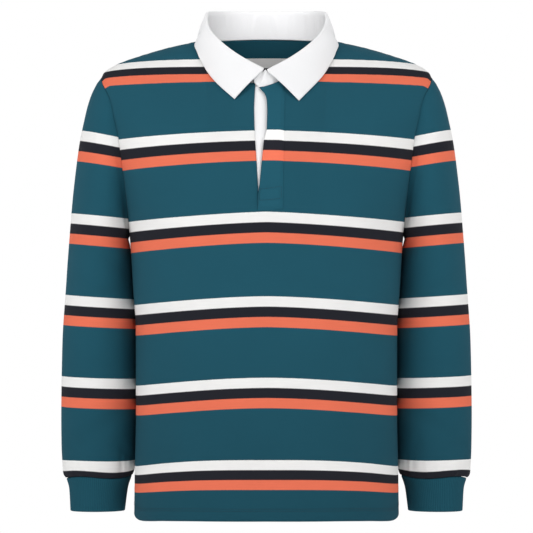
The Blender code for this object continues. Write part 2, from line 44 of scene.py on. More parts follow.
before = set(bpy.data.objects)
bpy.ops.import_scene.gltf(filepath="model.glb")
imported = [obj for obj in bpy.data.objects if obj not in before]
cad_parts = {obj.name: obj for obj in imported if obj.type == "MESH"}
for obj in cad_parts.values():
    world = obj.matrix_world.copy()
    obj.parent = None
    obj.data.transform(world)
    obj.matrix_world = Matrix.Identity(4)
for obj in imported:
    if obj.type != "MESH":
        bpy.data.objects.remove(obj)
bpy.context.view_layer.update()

METRES = 0.001  # in a millimetre
TOUCH = 0.01  # points this near to an edge count as on it

# Sewing.
GAP = 0.3  # between pieces that are sewn together
LAY_GAP = 0.6  # between the placket's layers and the front
HEM_TURN_UP = 20.0
HEM_STITCHES = (15.2, 18.4)  # rows of stitches above the hem's edge
HEM_ROWS = 12  # rows of the panels' grid that hold these stitches
SEAM_DEPTH = 1.1  # how far the cloth dips into a seam
SEAM_WIDTH = 3.2
SIDE_SEAM_SLOPE = 0.1  # the side seam's dip grows by this much a millimetre at the armpit
SHOULDER_SEAM_DEPTH = 0.7
SHOULDER_SEAM_FADE = 30.0  # the shoulder seam's dip dies out this near to its end
SLEEVE_SEAM_WIDTH = 7.5
# Depth of the armhole seam in the sleeve and in the panels, by the turn from the
# shoulder point to the armpit.
SLEEVE_SEAM_DEPTH = ((0, 0.1), (20, 0.5), (45, 2), (150, 2.4), (168, 1.2), (180, 0.2))
PANEL_SEAM_DEPTH = ((0, 0.05), (30, 0.3), (90, 0.4), (160, 0.5), (180, 0.2))
CUFF_SEAM_DEPTH = 0.3
SEAM_HOOK = 6.0  # the stripes are pulled down this much at the shoulder point,
SEAM_HOOK_REACH = 6.5  # this near to the seam
SEAM_HOOK_FOOT = -92.0  # and from this height up
PUCKER = 0.35  # ripple beside the armhole and shoulder seams
PUCKER_REACH = 9.0
PUCKER_LENGTHS = (12.7, 19.3)
RIM_ROUNDING = 0.35  # how far a cut edge is rounded, as a share of its thickness
# Rings of a stitch: place along it as a share of its length, and share of its full width.
STITCH_RINGS = ((-0.5, 0.0), (-0.42, 0.62), (-0.18, 1.0), (0.18, 1.0), (0.42, 0.62), (0.5, 0.0))
STITCH_SIDES = 6
STITCH_WIDTH = 1.3  # a stitch is this much wider than its thread is thick
STITCH_BOW = 0.3  # and rises by this share of the thread in its middle
STITCH_WELD = 0.000002  # the points of a stitch's tip are joined within this, in metres

# Heights of the main points, below the neck points of the shoulders.
SHOULDER_POINT = -53.5
ARMPIT = -292.5
CHEST = -185.0  # the body starts to curve in to the shoulders here
HEM = -708.0
HEM_DROP_START = -640.0  # the cloth starts to hang lower at the sides here
HEM_DROP = (
    # out from the middle, how far the hem hangs below its height in the middle
    (0, 0.9),
    (100, 1.5),
    (150, 2.9),
    (175, 4.9),
    (185, 5.6),
    (190, 5.3),
    (194, 4),
    (197, 1.4),
    (198.3, -0.6),
)

# Widths across, from the middle.
NECK_POINT_X = 97.0
SHOULDER_POINT_X = 247.5
ARMHOLE_OUT = 0.55  # how much the armhole seam faces outwards at the shoulder point
ARMHOLE_UP = 0.9  # and up there, or down at the armpit

# Body: its side edge is the armhole seam above the armpit and the side seam below it.
# The oval is the rounder shape that the armhole cuts short.
BODY = (
    # height, side edge, oval, front depth, back depth
    (60, 252, 290, 96, 96),
    (0, 250, 283, 104, 100),
    (-53.5, 247.5, 275, 112, 107),
    (-91.5, 231.5, 262, 119, 114),
    (-120, 225.5, 249, 124, 119),
    (-142.5, 220.5, 240, 128, 122),
    (-172.5, 216.5, 232.5, 132, 125),
    (-217.5, 211, 220.5, 137, 126),
    (-261, 207, 210, 140, 125),
    (-292.5, 205, 205, 141, 123),
    (-375, 199.5, 199.5, 139, 119),
    (-430, 196, 196, 137, 119),
    (-560, 195.8, 195.8, 137, 124),
    (-640, 197.4, 197.4, 138.5, 128),
    (-708, 198.3, 198.3, 140, 130),
)
EDGE, OVAL, FRONT_DEPTH, BACK_DEPTH = 1, 2, 3, 4
ROUNDNESS = 2.35  # power of the body's oval, 2 for an ellipse

# Shoulder seam, and the heights it would reach over the neck from front and back.
SHOULDER = (
    # out from the middle, height in front, height behind
    (0, 34, 60),
    (60, 14, 27),
    (97, 3.5, 3.5),
    (108, 0.7, 0.7),
    (146, -8, -8),
    (190, -21, -21),
    (223, -33, -33),
    (243, -45.5, -45.5),
    (247.5, -53.5, -53.5),
)
NECK_ROLL_FRONT = 1.55  # power of the slope from the chest to the neck
NECK_ROLL_BACK = 2.4
POINT_ROLL = 2.1  # the same at the shoulder points

# Neckline.
NECK_POINT_Z = 3.5
FRONT_NECK_DROP = 75.0
BACK_NECK_RISE = 4.0
FRONT_NECK_POWER = 0.8  # of the front neckline's curve, 1 for a parabola
NECK_LEAN = 0.3  # slope across the closed front of the neck
SLIT_NECK_RISE = 9.0  # the neck edge on the under side of the slit is this much higher
SLIT_NECK_REACH = 44.0  # and comes down to the neckline this far out

# Fine grid of the body's panels, REFINE times as close as the solids' grid.
REFINE = 5
ARMHOLE_STEPS = 12 * REFINE
SIDE_COLUMNS = 10 * REFINE
BODY_ROWS = 84
NECK_TURNS = np.linspace(86.0, 18.0, 19)
SLIT_LEFT_COLUMNS = 4  # between the last neck column and the slit's edge
SLIT_RIGHT_COLUMNS = 7
SLIT_COLUMN = SIDE_COLUMNS + len(NECK_TURNS) + SLIT_LEFT_COLUMNS

# Sleeve: outer and inner ends of each ring as seen from the front, half depth front to
# back, and how far the ring has gone from the armhole's shape (0) to an oval (1).
SLEEVE = (
    # ring, outer x, outer z, inner x, inner z, half depth, oval share, how far back it leans
    (1, 254, -62, 205.8, -293.6, 60, 0.14, 0),
    (2, 261.5, -77, 206.2, -294.7, 62, 0.3, 0),
    (3, 268, -96, 206.5, -295.8, 64, 0.46, 0),
    (4, 274, -121, 206.6, -297, 66, 0.62, 1),
    (5, 280.4, -152, 206.4, -298.6, 67.5, 0.78, 3),
    (6, 285.8, -190, 205.8, -301, 68, 0.9, 6),
    (7, 291, -234, 205, -305, 68, 1, 10),
    (8, 295.1, -280, 204.1, -313, 67, 1, 14),
    (9, 299.4, -332, 201.4, -340, 64, 1, 18),
    (10, 303.3, -386.2, 198.4, -388.2, 60, 1, 21),
    (11, 307.2, -445.5, 195.7, -445.5, 56, 1, 22),
    (12, 308.6, -505.7, 195.4, -505.7, 53, 1, 22),
    (13, 309.2, -561, 195.4, -561, 50, 1, 22),
    (14, 308.9, -603.2, 196.2, -603.2, 48, 1, 22),
    (15, 307.5, -633.3, 197.2, -632.3, 46, 1, 22),
    (16, 306.3, -646.4, 199.6, -645.4, 43.5, 1, 22),
    (17, 302.6, -653, 202.2, -652, 41.2, 1, 22),
)
RINGS_PER_ROW = 9
CUFF = (
    # ring, outer x, outer z, inner x, inner z, half depth
    (0, 301.5, -653.7, 202.6, -652.7, 40.9),
    (1, 297.3, -669.5, 208.3, -669, 37.5),
    (2, 295.3, -704.6, 213.3, -704.2, 34),
)
CUFF_MIDDLE_Y = 22.0
CUFF_RINGS = 26
RIB_SAMPLES = 4  # points across one rib
RIB_PITCH = 2.5  # width of one rib in the cloth's own measure
GATHER = 1.2  # ripples of the sleeve where it is gathered on the cuff
GATHER_REACH = 17.0
GATHER_FADE = 2.5  # the ripples die out this near to the cuff
GATHER_WAVES = ((9, 1.0, 0.50), (14, 2.3, 0.45), (23, 0.4, 0.30))  # number, start, share
CUFF_SEAM_WAVE = 1.7  # rise and fall of the cuff's seam
CUFF_SEAM_REACH = 20.0
CUFF_SEAM_START = {-1: 0.0, 1: 0.5}

# Placket, seen from the front: the slit's edge, the band's folded edge and its seam.
PLACKET = (
    # height, slit edge, folded edge, seam
    (-255, -11, -12.8, 23.7),
    (-231, -12, -12.5, 24.1),
    (-222, -12.4, -11.1, 24.2),
    (-182, -14.8, -6.8, 25),
    (-152, -16.8, -3.5, 25.6),
    (-136, -17.6, 0.3, 26),
    (-108, -18.2, 0.9, 26.6),
    (-94, -17.7, 0.3, 26.9),
    (-84, -17.2, -2.9, 27.2),
    (-73, -16.7, -11, 27.5),
    (-60, -16.5, -14, 27.8),
)
SLIT_EDGE, FOLDED_EDGE, BAND_SEAM = 1, 2, 3
BAND_COLUMNS = 56
BAND_ROW_STEP = 0.25  # as a share of the front's own rows
UNDER_COLUMNS = 24
UNDER_BULGE = 1.7  # the under placket bulges out between the slit's edges
UNDER_BULGE_WIDTH = 10.0
UNDER_LEAST_WIDTH = 0.1  # of the gap between the slit's edges, where it closes
BAND_UNDERCUT = 7.0  # the front's own edge lies this far under the folded edge
UNDER_PLACKET_LAP = 12.0
# Rows of the solids' grid, counted down from the neck, at which things start and end.
SLIT_FOOT_ROW = 8
STRIP_TOP_ROW = 0.1
BAND_FOOT_ROW = 8.75
UNDER_FOOT_ROW = 9.1
# How far the under placket runs up behind the stand's over end, at shares of its width.
UNDER_TOP_RISE = ((0, 7), (0.25, 9), (0.5, 8), (0.75, 2.5), (1, 0))
RISE_STEPS = (1.0, 0.67, 0.33)  # rows of the part that runs up, as shares of its height
BAND_SEAM_DIP = 1.5  # the band sinks this far to its sewn edge
BAND_SEAM_WIDTH = 4.5
BAND_SEAM_CLOSE = 0.7  # share of the gap under the band that closes at its sewn edge
BOX_STITCHES = (-223.6, -240.6)  # heights of the box sewn at the band's foot
BOX_INSET = 2.6  # from the box to the band's edges
BOX_DIP = 0.8
BOX_DIP_WIDTH = 1.1
BOX_EVEN = 0.8  # share of the dip along the box's foot and its folded side
# Dips along the box's top: height above the stitches, share of the dip, how far it sways
# up and down, and how fast it does so across the band.
BOX_TOP_DIPS = ((0.0, 1.0, 0.5, 0.9), (4.0, 0.5, -0.6, 1.0))
BOX_PULL_SHARE = 0.25  # how unevenly the stitches of the top pull
BOX_PULL_WAVES = ((1.9, 0), (0.7, 1))

# Collar: where its fold runs, and the height of its edge where that lies on the shirt.
COLLAR_MIDDLE_Y = -6.0
COLLAR_FOLD_X = 87.5
COLLAR_FOLD_Y = 74.0
COLLAR_FOLD = (
    # turn from the front, height of the fold
    (0, -46),
    (22, -28),
    (56, 4.7),
    (79, 27),
    (90, 39),
    (104, 46.5),
    (130, 49.5),
    (180, 51),
)
COLLAR_EDGE = (
    # turn from the front, height of the edge
    (28.2, -91.6),
    (47.5, -66.1),
    (57, -51.3),
    (63, -40.8),
    (69, -30.3),
    (76, -18),
    (82, -9.2),
    (86.5, -3.2),
    (92, 2),
    (99, 1.7),
    (110, -1.6),
    (135, -12),
    (180, -13),
)
FALL_START = 2.2  # turn at which the fall starts on the wearer's right
FALL_END = 359.7  # and ends on the wearer's left
POINT_TURN = 28.2  # turn of the collar's points
LEFT_POINT_DROP = 2.4  # the point on the wearer's left hangs this much lower
LEFT_DROP_REACH = 20.0  # over this turn from the point
COLLAR_STEP = 1.8  # turn between the collar's columns
FALL_ROLL = (
    # step, out from the fold, down from the fold
    (0, 0, 6),
    (1, 0.2, 2.6),
    (2, 1.3, 0.6),
    (3, 2.8, 0),
    (4, 4.4, 0.8),
    (5, 5.6, 3.2),
)
FOLD_GAP = 0.01  # between the stand and the fall inside the collar
FALL_ROLL_ROWS = 15
FALL_ROWS = 26
FALL_BULGE = 3.0
FALL_BULGE_UP = 0.5  # how much of the bulge goes upwards
FALL_LIFT = 2.6  # outer face of the fall's edge above the shirt
STAND_UNDER_END = (-9.0, -6.0, -3.0)  # turns of the columns past the fall's start
STAND_OVER_END = (
    # turn past the fall's end, top edge down from the fold, foot up from the neck seam
    (360.1, 1, 0),
    (361, 1, 0),
    (362, 6.3, 0),
    (365.7, 8, 0.3),
    (368.3, 11, 4.6),
    (370.1, 16, 9.3),
)
STAND_OVER_COLUMNS = 20
STAND_ROWS = 28
COLLAR_ROUND = 1.4  # millimetres round the collar for each degree
STAND_CREASES = (
    # start turn, start down, end turn, end down, bow, half width, depth
    (108, -6, 122, 30, 2, 2.4, 1.4),
    (120, 2, 131, 38, -2, 2, 1),
    (139, -4, 143, 26, 1.5, 2.8, 1.2),
    (158, 6, 160, 40, -1.5, 2.4, 0.8),
    (171, -8, 169, 32, 1.5, 3, 1),
    (186, -4, 190, 36, -1.5, 2.6, 1),
    (209, -6, 203, 30, 1.5, 2.4, 1),
    (226, -4, 219, 34, -1.5, 2.6, 1.2),
    (241, 0, 233, 38, 2, 2, 1.2),
    (251, -6, 240, 30, -2, 2.4, 1.4),
    (361, -4, 371, 24, 1.5, 1.8, 1.3),
    (362, 6, 368, 30, -1, 1.8, 0.9),
    (358, 8, 360, 34, 1, 1.8, 1.1),
)
STAND_LAP = 4.7  # the under end lies this much nearer the neck
STAND_LAP_START = 14.0
STAND_LAP_END = 60.0
COLLAR_STITCH_INSET = 5.0
COLLAR_STITCH_ROW = -5  # row of the fall, from its edge, that the stitches' ends go by
STAND_STITCH_INSET = 5.5
STAND_STITCH_FRONT = 40.0  # the stand's stitches start this far before its middle
COLLAR_SEARCH = (40.0, 140.0)  # the collar's edge lies between these from its middle
COLLAR_HALVINGS = 40

# Soft folds seen from in front (-1) or behind (+1), the same as in the solids.
FOLDS = (
    # side, start x, start z, end x, end z, half width, depth
    (-1, -196, -262, -128, -330, 20, 3),
    (-1, 196, -266, 120, -340, 21, 3),
    (-1, -152, -420, -160, -640, 22, 3),
    (-1, 158, -460, 148, -690, 22, 3),
    (1, -190, -240, -130, -330, 24, 3.5),
    (1, 190, -235, 122, -345, 25, 3.5),
    (1, -70, -430, -88, -670, 26, 3.5),
    (1, 82, -400, 70, -650, 26, 3.5),
    (-1, -290, -372, -225, -404, 16, 2.5),
    (-1, 288, -360, 226, -396, 16, 2.5),
    (-1, -222, -560, -292, -610, 15, 2.5),
    (-1, 224, -556, 290, -598, 15, 2.5),
    (1, -290, -380, -228, -360, 16, 2.5),
    (1, 290, -376, 228, -352, 16, 2.5),
)
FOLD_EDGE_FADE = 22.0  # a fold dies out this near to a seam
FOLD_FADE_POWER = 0.7

# Finer creases of the front (-1) and the back (1). A crease is a soft trough with a lower
# ridge beside it.
RIDGE = 0.4  # height of the ridge, as a share of the trough's depth
RIDGE_OFFSET = 1.7  # how far the ridge lies from the trough, in half widths
CREASES = {
    # start x, start z, end x, end z, bow, half width, depth
    -1: (
        (-104, -8, -168, -38, 3, 5.5, 0.9),
        (106, -6, 160, -34, -3, 5, 0.8),
        (-118, -20, -196, -62, 5, 9, 0.9),
        (190, -66, 128, -30, 4, 9, 0.8),
        (-203, -240, -120, -212, -7, 10, 1.2),
        (203, -232, 132, -214, 6, 9, 1.1),
        (-200, -300, -108, -372, 8, 12, 1.3),
        (198, -318, 124, -392, -8, 12, 1.2),
        (-16, -252, -62, -296, 3, 7, 0.6),
        (24, -256, 70, -318, -4, 8, 0.6),
        (-58, -420, -84, -676, 8, 15, 1.1),
        (44, -470, 58, -700, -6, 14, 1),
        (104, -380, 122, -560, 6, 13, 1),
        (-118, -540, -104, -700, 5, 12, 0.9),
        (-186, -470, -120, -492, -5, 9, 0.8),
        (188, -500, 132, -516, 5, 9, 0.8),
    ),
    1: (
        (-120, -14, -60, -60, 6, 9, 1),
        (124, -18, 70, -70, -6, 9, 1),
        (-210, -210, -110, -176, -10, 13, 1.6),
        (212, -200, 118, -170, 10, 12, 1.5),
        (-200, -290, -84, -262, -12, 12, 1.5),
        (200, -300, 96, -270, 12, 12, 1.4),
        (-196, -330, -104, -410, 8, 12, 1.5),
        (196, -350, 120, -430, -8, 12, 1.4),
        (-4, -110, 6, -270, 5, 18, 1.3),
        (8, -430, -6, -690, 8, 17, 1.5),
        (-142, -440, -128, -690, 7, 15, 1.4),
        (140, -470, 130, -700, -6, 14, 1.3),
        (-160, -452, -40, -470, -8, 11, 1.1),
        (166, -438, 60, -462, 8, 11, 1.1),
    ),
}
# Creases of the wearer's right (-1) and left (1) sleeve, by the turn from the outer side
# round by the front.
SLEEVE_CREASES = {
    # start turn, start z, end turn, end z, bow, half width, depth
    -1: (
        (84, -120, 40, -196, 4, 9, 0.9),
        (100, -240, 172, -318, -6, 10, 1.5),
        (78, -300, 170, -352, -7, 10, 1.3),
        (70, -396, 158, -366, 6, 9, 1.3),
        (40, -440, 130, -462, 7, 11, 0.9),
        (96, -520, 168, -556, -5, 10, 1),
        (112, -588, 170, -634, -4, 8, 1.4),
        (20, -590, 84, -620, 5, 9, 0.8),
        (127, -614, 133, -664, 2, 3.4, 1.7),
        (141, -620, 145, -664, -2, 3.4, 1.5),
        (-20, -250, -80, -330, 6, 11, 1.2),
        (-60, -340, -160, -372, -8, 10, 1.7),
        (-50, -392, -140, -380, 7, 9, 1.5),
        (-70, -430, -165, -470, 6, 11, 1.2),
        (-40, -540, -130, -580, 8, 11, 1.1),
        (-100, -600, -160, -636, 5, 8, 1.3),
    ),
    1: (
        (86, -128, 44, -190, 4, 9, 0.9),
        (104, -252, 170, -326, -6, 10, 1.4),
        (70, -318, 166, -360, -7, 10, 1.3),
        (64, -408, 160, -384, 6, 9, 1.2),
        (30, -456, 120, -470, 7, 11, 0.9),
        (90, -534, 166, -560, -5, 10, 1),
        (108, -596, 168, -636, -4, 8, 1.3),
        (125, -616, 130, -664, 2, 3.4, 1.5),
        (140, -618, 145, -664, -2, 3.4, 1.4),
        (24, -600, 76, -624, 5, 9, 0.8),
        (-24, -236, -86, -322, 6, 11, 1.2),
        (-56, -352, -156, -380, -8, 10, 1.6),
        (-46, -404, -150, -398, 7, 9, 1.4),
        (-76, -450, -160, -480, 6, 11, 1.2),
        (-36, -552, -120, -586, 8, 11, 1.1),
        (-96, -606, -164, -634, 5, 8, 1.3),
    ),
}
SLEEVE_ROUND = 0.9  # cloth round the sleeve for one degree of turn

# Where levels of the striped cloth hang. A stripe droops from the middle to the sides.
DROOP_X = 190.0
LEVELS_BEYOND = 10.0  # the first and last rows' spacing goes on this many times past them
FRONT_LEVELS = (
    # down the cloth, height in the middle, droop at the sides, power of the droop
    (-60, 29, 2.9, 4),
    (0, -28.6, 2.9, 4),
    (14.5, -40.3, 1.3, 6),
    (29, -51.6, 1.3, 5),
    (43.5, -62, 4.2, 1.5),
    (120.5, -137.3, 9, 1.6),
    (164, -182.3, 10.4, 1.6),
    (241, -256.7, 12.4, 1.3),
    (284.5, -302.2, 13.3, 1.5),
    (361.5, -380.1, 13.3, 1.6),
    (405, -425.3, 14, 1.6),
    (482, -499, 14.8, 1.8),
    (525.5, -543.5, 14.8, 1.8),
    (602.5, -619.2, 14.1, 2.9),
    (646, -662.7, 9.8, 3.2),
    (692.5, -709, 9, 3.2),
)
BACK_LEVELS = (
    (-60, 41, 3, 1.5),
    (0, -19, 7.5, 1.6),
    (120.5, -139.6, 6.5, 1.6),
    (241, -260.1, 9.5, 1.8),
    (361.5, -380.6, 12.5, 1.7),
    (482, -501.1, 12, 1.8),
    (602.5, -621.6, 12, 2.2),
    (692.5, -711, 7, 2.6),
)
SLEEVE_FALL_X = 47.0
SLEEVE_FALL_LIMIT = 3
SLEEVE_LIFT = {-1: 0.0, 1: 1.2}  # the stripes' rise above these heights on each arm
SLEEVE_LEVELS = (
    # down the cloth, height at the outer side, fall over SLEEVE_FALL_X, power of the fall
    (14.5, -20.5, 14, 1),
    (46.5, -53, 14, 1),
    (120.5, -133.5, 9, 1),
    (164, -179.3, 7.4, 1),
    (241, -257, 4.5, 1),
    (284.5, -302.4, 4, 1),
    (361.5, -379.2, 3, 1),
    (405, -424.6, 2.5, 1),
    (482, -501.4, 1.6, 1),
    (525.5, -547.3, 1.5, 1),
    (602.5, -627.4, 0.2, 1),
    (640, -668.4, 0.2, 1),
)

# Finish of each material: roughness, sheen, roughness of the sheen, and specular level.
JERSEY_FINISH = (0.9, 0.02, 0.5, 0.1)
DRILL_FINISH = (0.85, 0.02, 0.5, 0.15)
THREAD_FINISH = (0.7, 0.1, 0.4, 0.3)

# Dye of the striped jersey, with painted shade towards the hem and painted light on the placket.
STRIPE_EDGE = 0.0022  # half the blur between two stripes, as a share of the repeat
PAINTED_SHADE_FROM = 0.36  # painted shade: the ground is made a little darker from here down, in metres
PAINTED_SHADE_REACH = 0.34
PAINTED_SHADE_BY = 0.2
PLACKET_PAINTED_LIGHT = 1.14  # painted light: the placket's band is made a little lighter than the front

# Light, in metres and degrees.
WALL_FADE = (0.15, 0.32)  # steepness at which the walls fade into the ceiling
NECK_LAMP = (0.0, -2.2, 1.25)  # a narrow lamp that shines over the collar's front
NECK_MIDDLE = (0.0, 0.06, 0.032)  # on the inside of the collar's back
NECK_BEAM = 4.4
KEY_LAMPS = (
    # name, place, size, share of the key light's power
    ("left_lamp", (-1.8, -1.8, 0.5), 1.5, 1.0),
    ("right_lamp", (1.8, -1.8, 0.5), 1.5, 0.8),
    ("top_lamp", (-0.1, -1.2, 1.15), 1.0, 0.12),
    ("back_lamp", (0.3, 2.4, 0.8), 1.8, 1.2),
)


# Settings ---------------------------------------------------------------------------------

def length(name, description, default, low=0.0001, high=10.0):
    return FloatProperty(
        name=name, description=description, default=default, min=low, max=high,
        unit="LENGTH", precision=4,
    )


def colour(name, description, default):
    return FloatVectorProperty(
        name=name, description=description, default=default, size=4, min=0.0, max=1.0,
        subtype="COLOR",
    )


def number(name, description, default, high, **kind):
    return FloatProperty(
        name=name, description=description, default=default, min=0.0, max=high, **kind
    )


class JerseySettings(bpy.types.PropertyGroup):
    thickness: length("Jersey", "Thickness of the body's and sleeves' jersey", 0.0014)
    hem: length("Hem", "Thickness of the jersey turned up at the hem", 0.0026)
    band: length("Placket band", "Thickness of the folded placket band", 0.002)
    repeat: length("Stripe repeat", "From one group of stripes to the next", 0.1205)
    stripe: length("Stripe", "Width of one stripe, of three in a group", 0.0145)
    wale: length("Wale", "Width of one column of knit stitches", 0.0013)
    course: length("Course", "Height of one row of knit stitches", 0.0011)
    crease: number("Creases", "Share of the finer creases' depth", 1.0, 2.0, subtype="FACTOR")
    ground: colour("Ground", "Colour between the stripes", (0.0135, 0.0865, 0.1260, 1.0))
    light: colour("Light stripe", "Upper stripe of a group", (0.885, 0.880, 0.868, 1.0))
    dark: colour("Dark stripe", "Middle stripe of a group", (0.0165, 0.0172, 0.0235, 1.0))
    warm: colour("Warm stripe", "Lower stripe of a group", (0.825, 0.178, 0.099, 1.0))


class TrimSettings(bpy.types.PropertyGroup):
    rib: length("Rib", "Thickness of the cuffs' doubled rib", 0.0024)
    rib_depth: length("Rib depth", "Depth of the grooves between the ribs", 0.0004)
    ribs: IntProperty(
        name="Ribs", description="Ribs round a cuff", default=96, min=20, max=200,
    )
    drill: length("Drill", "Thickness of the collar and under placket", 0.0015)
    twill: length("Twill", "From one diagonal of the drill to the next", 0.0009)
    stitch: length("Stitch", "Length of one stitch", 0.0026)
    stitch_gap: length("Stitch gap", "From the end of a stitch to the next", 0.0008)
    thread: length("Thread", "Thickness of the sewing thread", 0.00045)
    rib_colour: colour("Rib colour", "Colour of the cuffs", (0.0120, 0.0800, 0.1160, 1.0))
    drill_colour: colour("Collar", "Colour of the white drill", (0.860, 0.860, 0.870, 1.0))
    # The teal thread is darker than its own dye, with painted shade of the dents that the stitches
    # pull in.
    thread_and_shade_colour: colour("Teal thread", "Thread on the jersey", (0.005, 0.028, 0.042, 1.0))


class StageSettings(bpy.types.PropertyGroup):
    floor_drop: length("Floor", "How far the floor lies below the neck points", 1.4)
    floor_reach: length("Floor reach", "Radius of the floor", 7.5)
    floor_colour: colour("Floor colour", "Colour of the floor", (0.86, 0.86, 0.86, 1.0))
    camera_distance: length("Camera distance", "From the camera to the shirt's middle", 5.0)
    camera_height: FloatProperty(
        name="Camera height", description="Height of the camera above the origin",
        default=-0.33675, unit="LENGTH",
    )
    view_width: length("View width", "Width that the picture spans at the shirt", 0.7995)
    walls: number("Walls", "Brightness of the white walls round the shirt", 1.0, 10.0)
    ceiling: number("Ceiling", "Brightness above the walls", 0.45, 10.0)
    key: number(
        "Key light", "Power that each lamp has a share of", 24.0, 5000.0,
        subtype="POWER", unit="POWER",
    )
    neck: number(
        "Neck light", "Power of the lamp that shines into the neck", 60.0, 5000.0,
        subtype="POWER", unit="POWER",
    )


# Numbers ----------------------------------------------------------------------------------

def profile(table, column, at):
    """Value of a table's column at places of its first column, on a smooth curve."""
    rows = np.array(sorted(table), float)
    place, value = rows[:, 0], rows[:, column]
    step = np.diff(place)
    slope = np.diff(value) / step
    tangent = np.concatenate(([slope[0]], np.zeros(len(slope) - 1), [slope[-1]]))
    for i in range(1, len(slope)):
        if slope[i - 1] * slope[i] > 0:
            tangent[i] = 2 * slope[i - 1] * slope[i] / (slope[i - 1] + slope[i])
    at = np.clip(at, place[0], place[-1])
    cell = np.clip(np.searchsorted(place, at, side="right") - 1, 0, len(step) - 1)
    t = (at - place[cell]) / step[cell]
    ease = t * t * (3 - 2 * t)
    leaving = t * (1 - t) ** 2 * step[cell] * tangent[cell]
    arriving = t * t * (t - 1) * step[cell] * tangent[cell + 1]
    return value[cell] + (value[cell + 1] - value[cell]) * ease + leaving + arriving


def mix(start, end, share):
    return start + (end - start) * share


def clamp(values):
    return np.clip(values, 0, 1)


def bell(away, width):
    """Height of a bell curve, 1 in its middle and about a third of that at its width."""
    return np.exp(-(away / width) ** 2)


def unit(vectors):
    return vectors / np.maximum(np.linalg.norm(vectors, axis=-1, keepdims=True), 1e-9)


def stack(x, y, z):
    return np.stack(np.broadcast_arrays(x, y, z), axis=-1).astype(float)


def millimetres(value):
    return value / METRES


def reach(points, axis, from_end=False):
    """Length along each row (axis 1) or column (axis 0) of a grid from its start or end."""
    steps = np.linalg.norm(np.diff(points, axis=axis), axis=-1)
    if from_end:
        steps = np.flip(steps, axis=axis)
    start = np.zeros_like(np.take(steps, [0], axis=axis))
    run = np.concatenate((start, np.cumsum(steps, axis=axis)), axis=axis)
    return np.flip(run, axis=axis) if from_end else run


# The body's surface -----------------------------------------------------------------------

def body_y(x, z, side):
    """Depth of the front (side -1) or back (side +1) at a place seen from the front."""
    x = np.abs(x)
    oval = profile(BODY, OVAL, z)
    deep = profile(BODY, FRONT_DEPTH if side < 0 else BACK_DEPTH, z)
    across = (1 - clamp(x / oval) ** ROUNDNESS) ** (1 / ROUNDNESS)
    top = profile(SHOULDER, 1 if side < 0 else 2, x)
    neck_roll = NECK_ROLL_FRONT if side < 0 else NECK_ROLL_BACK
    from_neck = clamp((x - NECK_POINT_X) / (SHOULDER_POINT_X - NECK_POINT_X))
    power = mix(neck_roll, POINT_ROLL, from_neck)
    rise = clamp((z - CHEST) / (top - CHEST))
    return side * deep * across * (1 - rise ** power) ** (1 / power)


def body_normal(x, z, side):
    small = 0.5
    by_x = (body_y(x + small, z, side) - body_y(x - small, z, side)) / (2 * small)
    by_z = (body_y(x, z + small, side) - body_y(x, z - small, side)) / (2 * small)
    return unit(stack(-side * by_x, side, -side * by_z))


def front_neck_z(x):
    inward = 1 - clamp(np.abs(x) / NECK_POINT_X) ** 2
    drop = FRONT_NECK_DROP * inward ** FRONT_NECK_POWER
    return NECK_POINT_Z - drop + NECK_LEAN * x * inward ** 2


def back_neck_z(x):
    inward = 1 - clamp(np.abs(x) / NECK_POINT_X) ** 2
    return NECK_POINT_Z + BACK_NECK_RISE * inward ** 2


def panel_top(x, side):
    """Upper edge of a panel: the neckline, then the shoulder seam."""
    neckline = front_neck_z(x) if side < 0 else back_neck_z(x)
    seam = profile(SHOULDER, 1, np.abs(x))
    return np.where(np.abs(x) < NECK_POINT_X - TOUCH, neckline, seam)


def slit_neck_rise(x, slit):
    """Rise of the front's neck edge from the under side of the slit outwards."""
    away = clamp((slit - x) / SLIT_NECK_REACH)
    return np.where(x < slit + TOUCH, SLIT_NECK_RISE * (1 - away) ** 2 * (1 + 2 * away), 0.0)


def hem_drop(x, z):
    """How far the cloth hangs below the level rows near the hem."""
    near_hem = clamp((HEM_DROP_START - z) / (HEM_DROP_START - HEM))
    return profile(HEM_DROP, 1, np.abs(x)) * near_hem ** 2 * (3 - 2 * near_hem)


def cloth_level(z, across, levels):
    """How far down the striped cloth a point lies. across is 0 where stripes don't droop."""
    rows = np.array(levels)
    hangs = [row[1] - row[2] * across ** row[3] for row in rows]
    down = np.full(z.shape, rows[0, 0])
    for i in range(len(rows) - 1):
        share = (hangs[i] - z) / (hangs[i] - hangs[i + 1])
        low = -LEVELS_BEYOND if i == 0 else 0.0
        high = LEVELS_BEYOND if i == len(rows) - 2 else 1.0
        down = down + np.clip(share, low, high) * (rows[i + 1, 0] - rows[i, 0])
    return down


# Folds and creases ------------------------------------------------------------------------

def fold_sink(points, facing):
    """How far the large soft folds sink the points seen from the front or the back."""
    sink = np.zeros(points.shape[:-1])
    for side, start_x, start_z, end_x, end_z, half_width, depth in FOLDS:
        start = np.array((start_x, start_z))
        run = np.array((end_x, end_z)) - start
        offset = points[..., (0, 2)] - start
        share = clamp(offset @ run / (run @ run))
        away = np.linalg.norm(offset - share[..., None] * run, axis=-1)
        towards = clamp(side * facing[..., 1]) ** 0.5
        sink += depth * bell(away, half_width) * towards
    return sink


def crease_sink(across, up, start, end, bow, half_width, depth):
    """Sink of one crease on a plane: a trough that tapers to its ends, and a ridge."""
    start, run = np.array(start), np.array(end) - np.array(start)
    size = np.linalg.norm(run)
    offset_x, offset_z = across - start[0], up - start[1]
    share = clamp((offset_x * run[0] + offset_z * run[1]) / size ** 2)
    aside = (offset_z * run[0] - offset_x * run[1]) / size - 4 * bow * share * (1 - share)
    trough = bell(aside, half_width)
    ridge = RIDGE * bell(aside - RIDGE_OFFSET * half_width, half_width)
    return depth * (trough - ridge) * np.sin(math.pi * share)


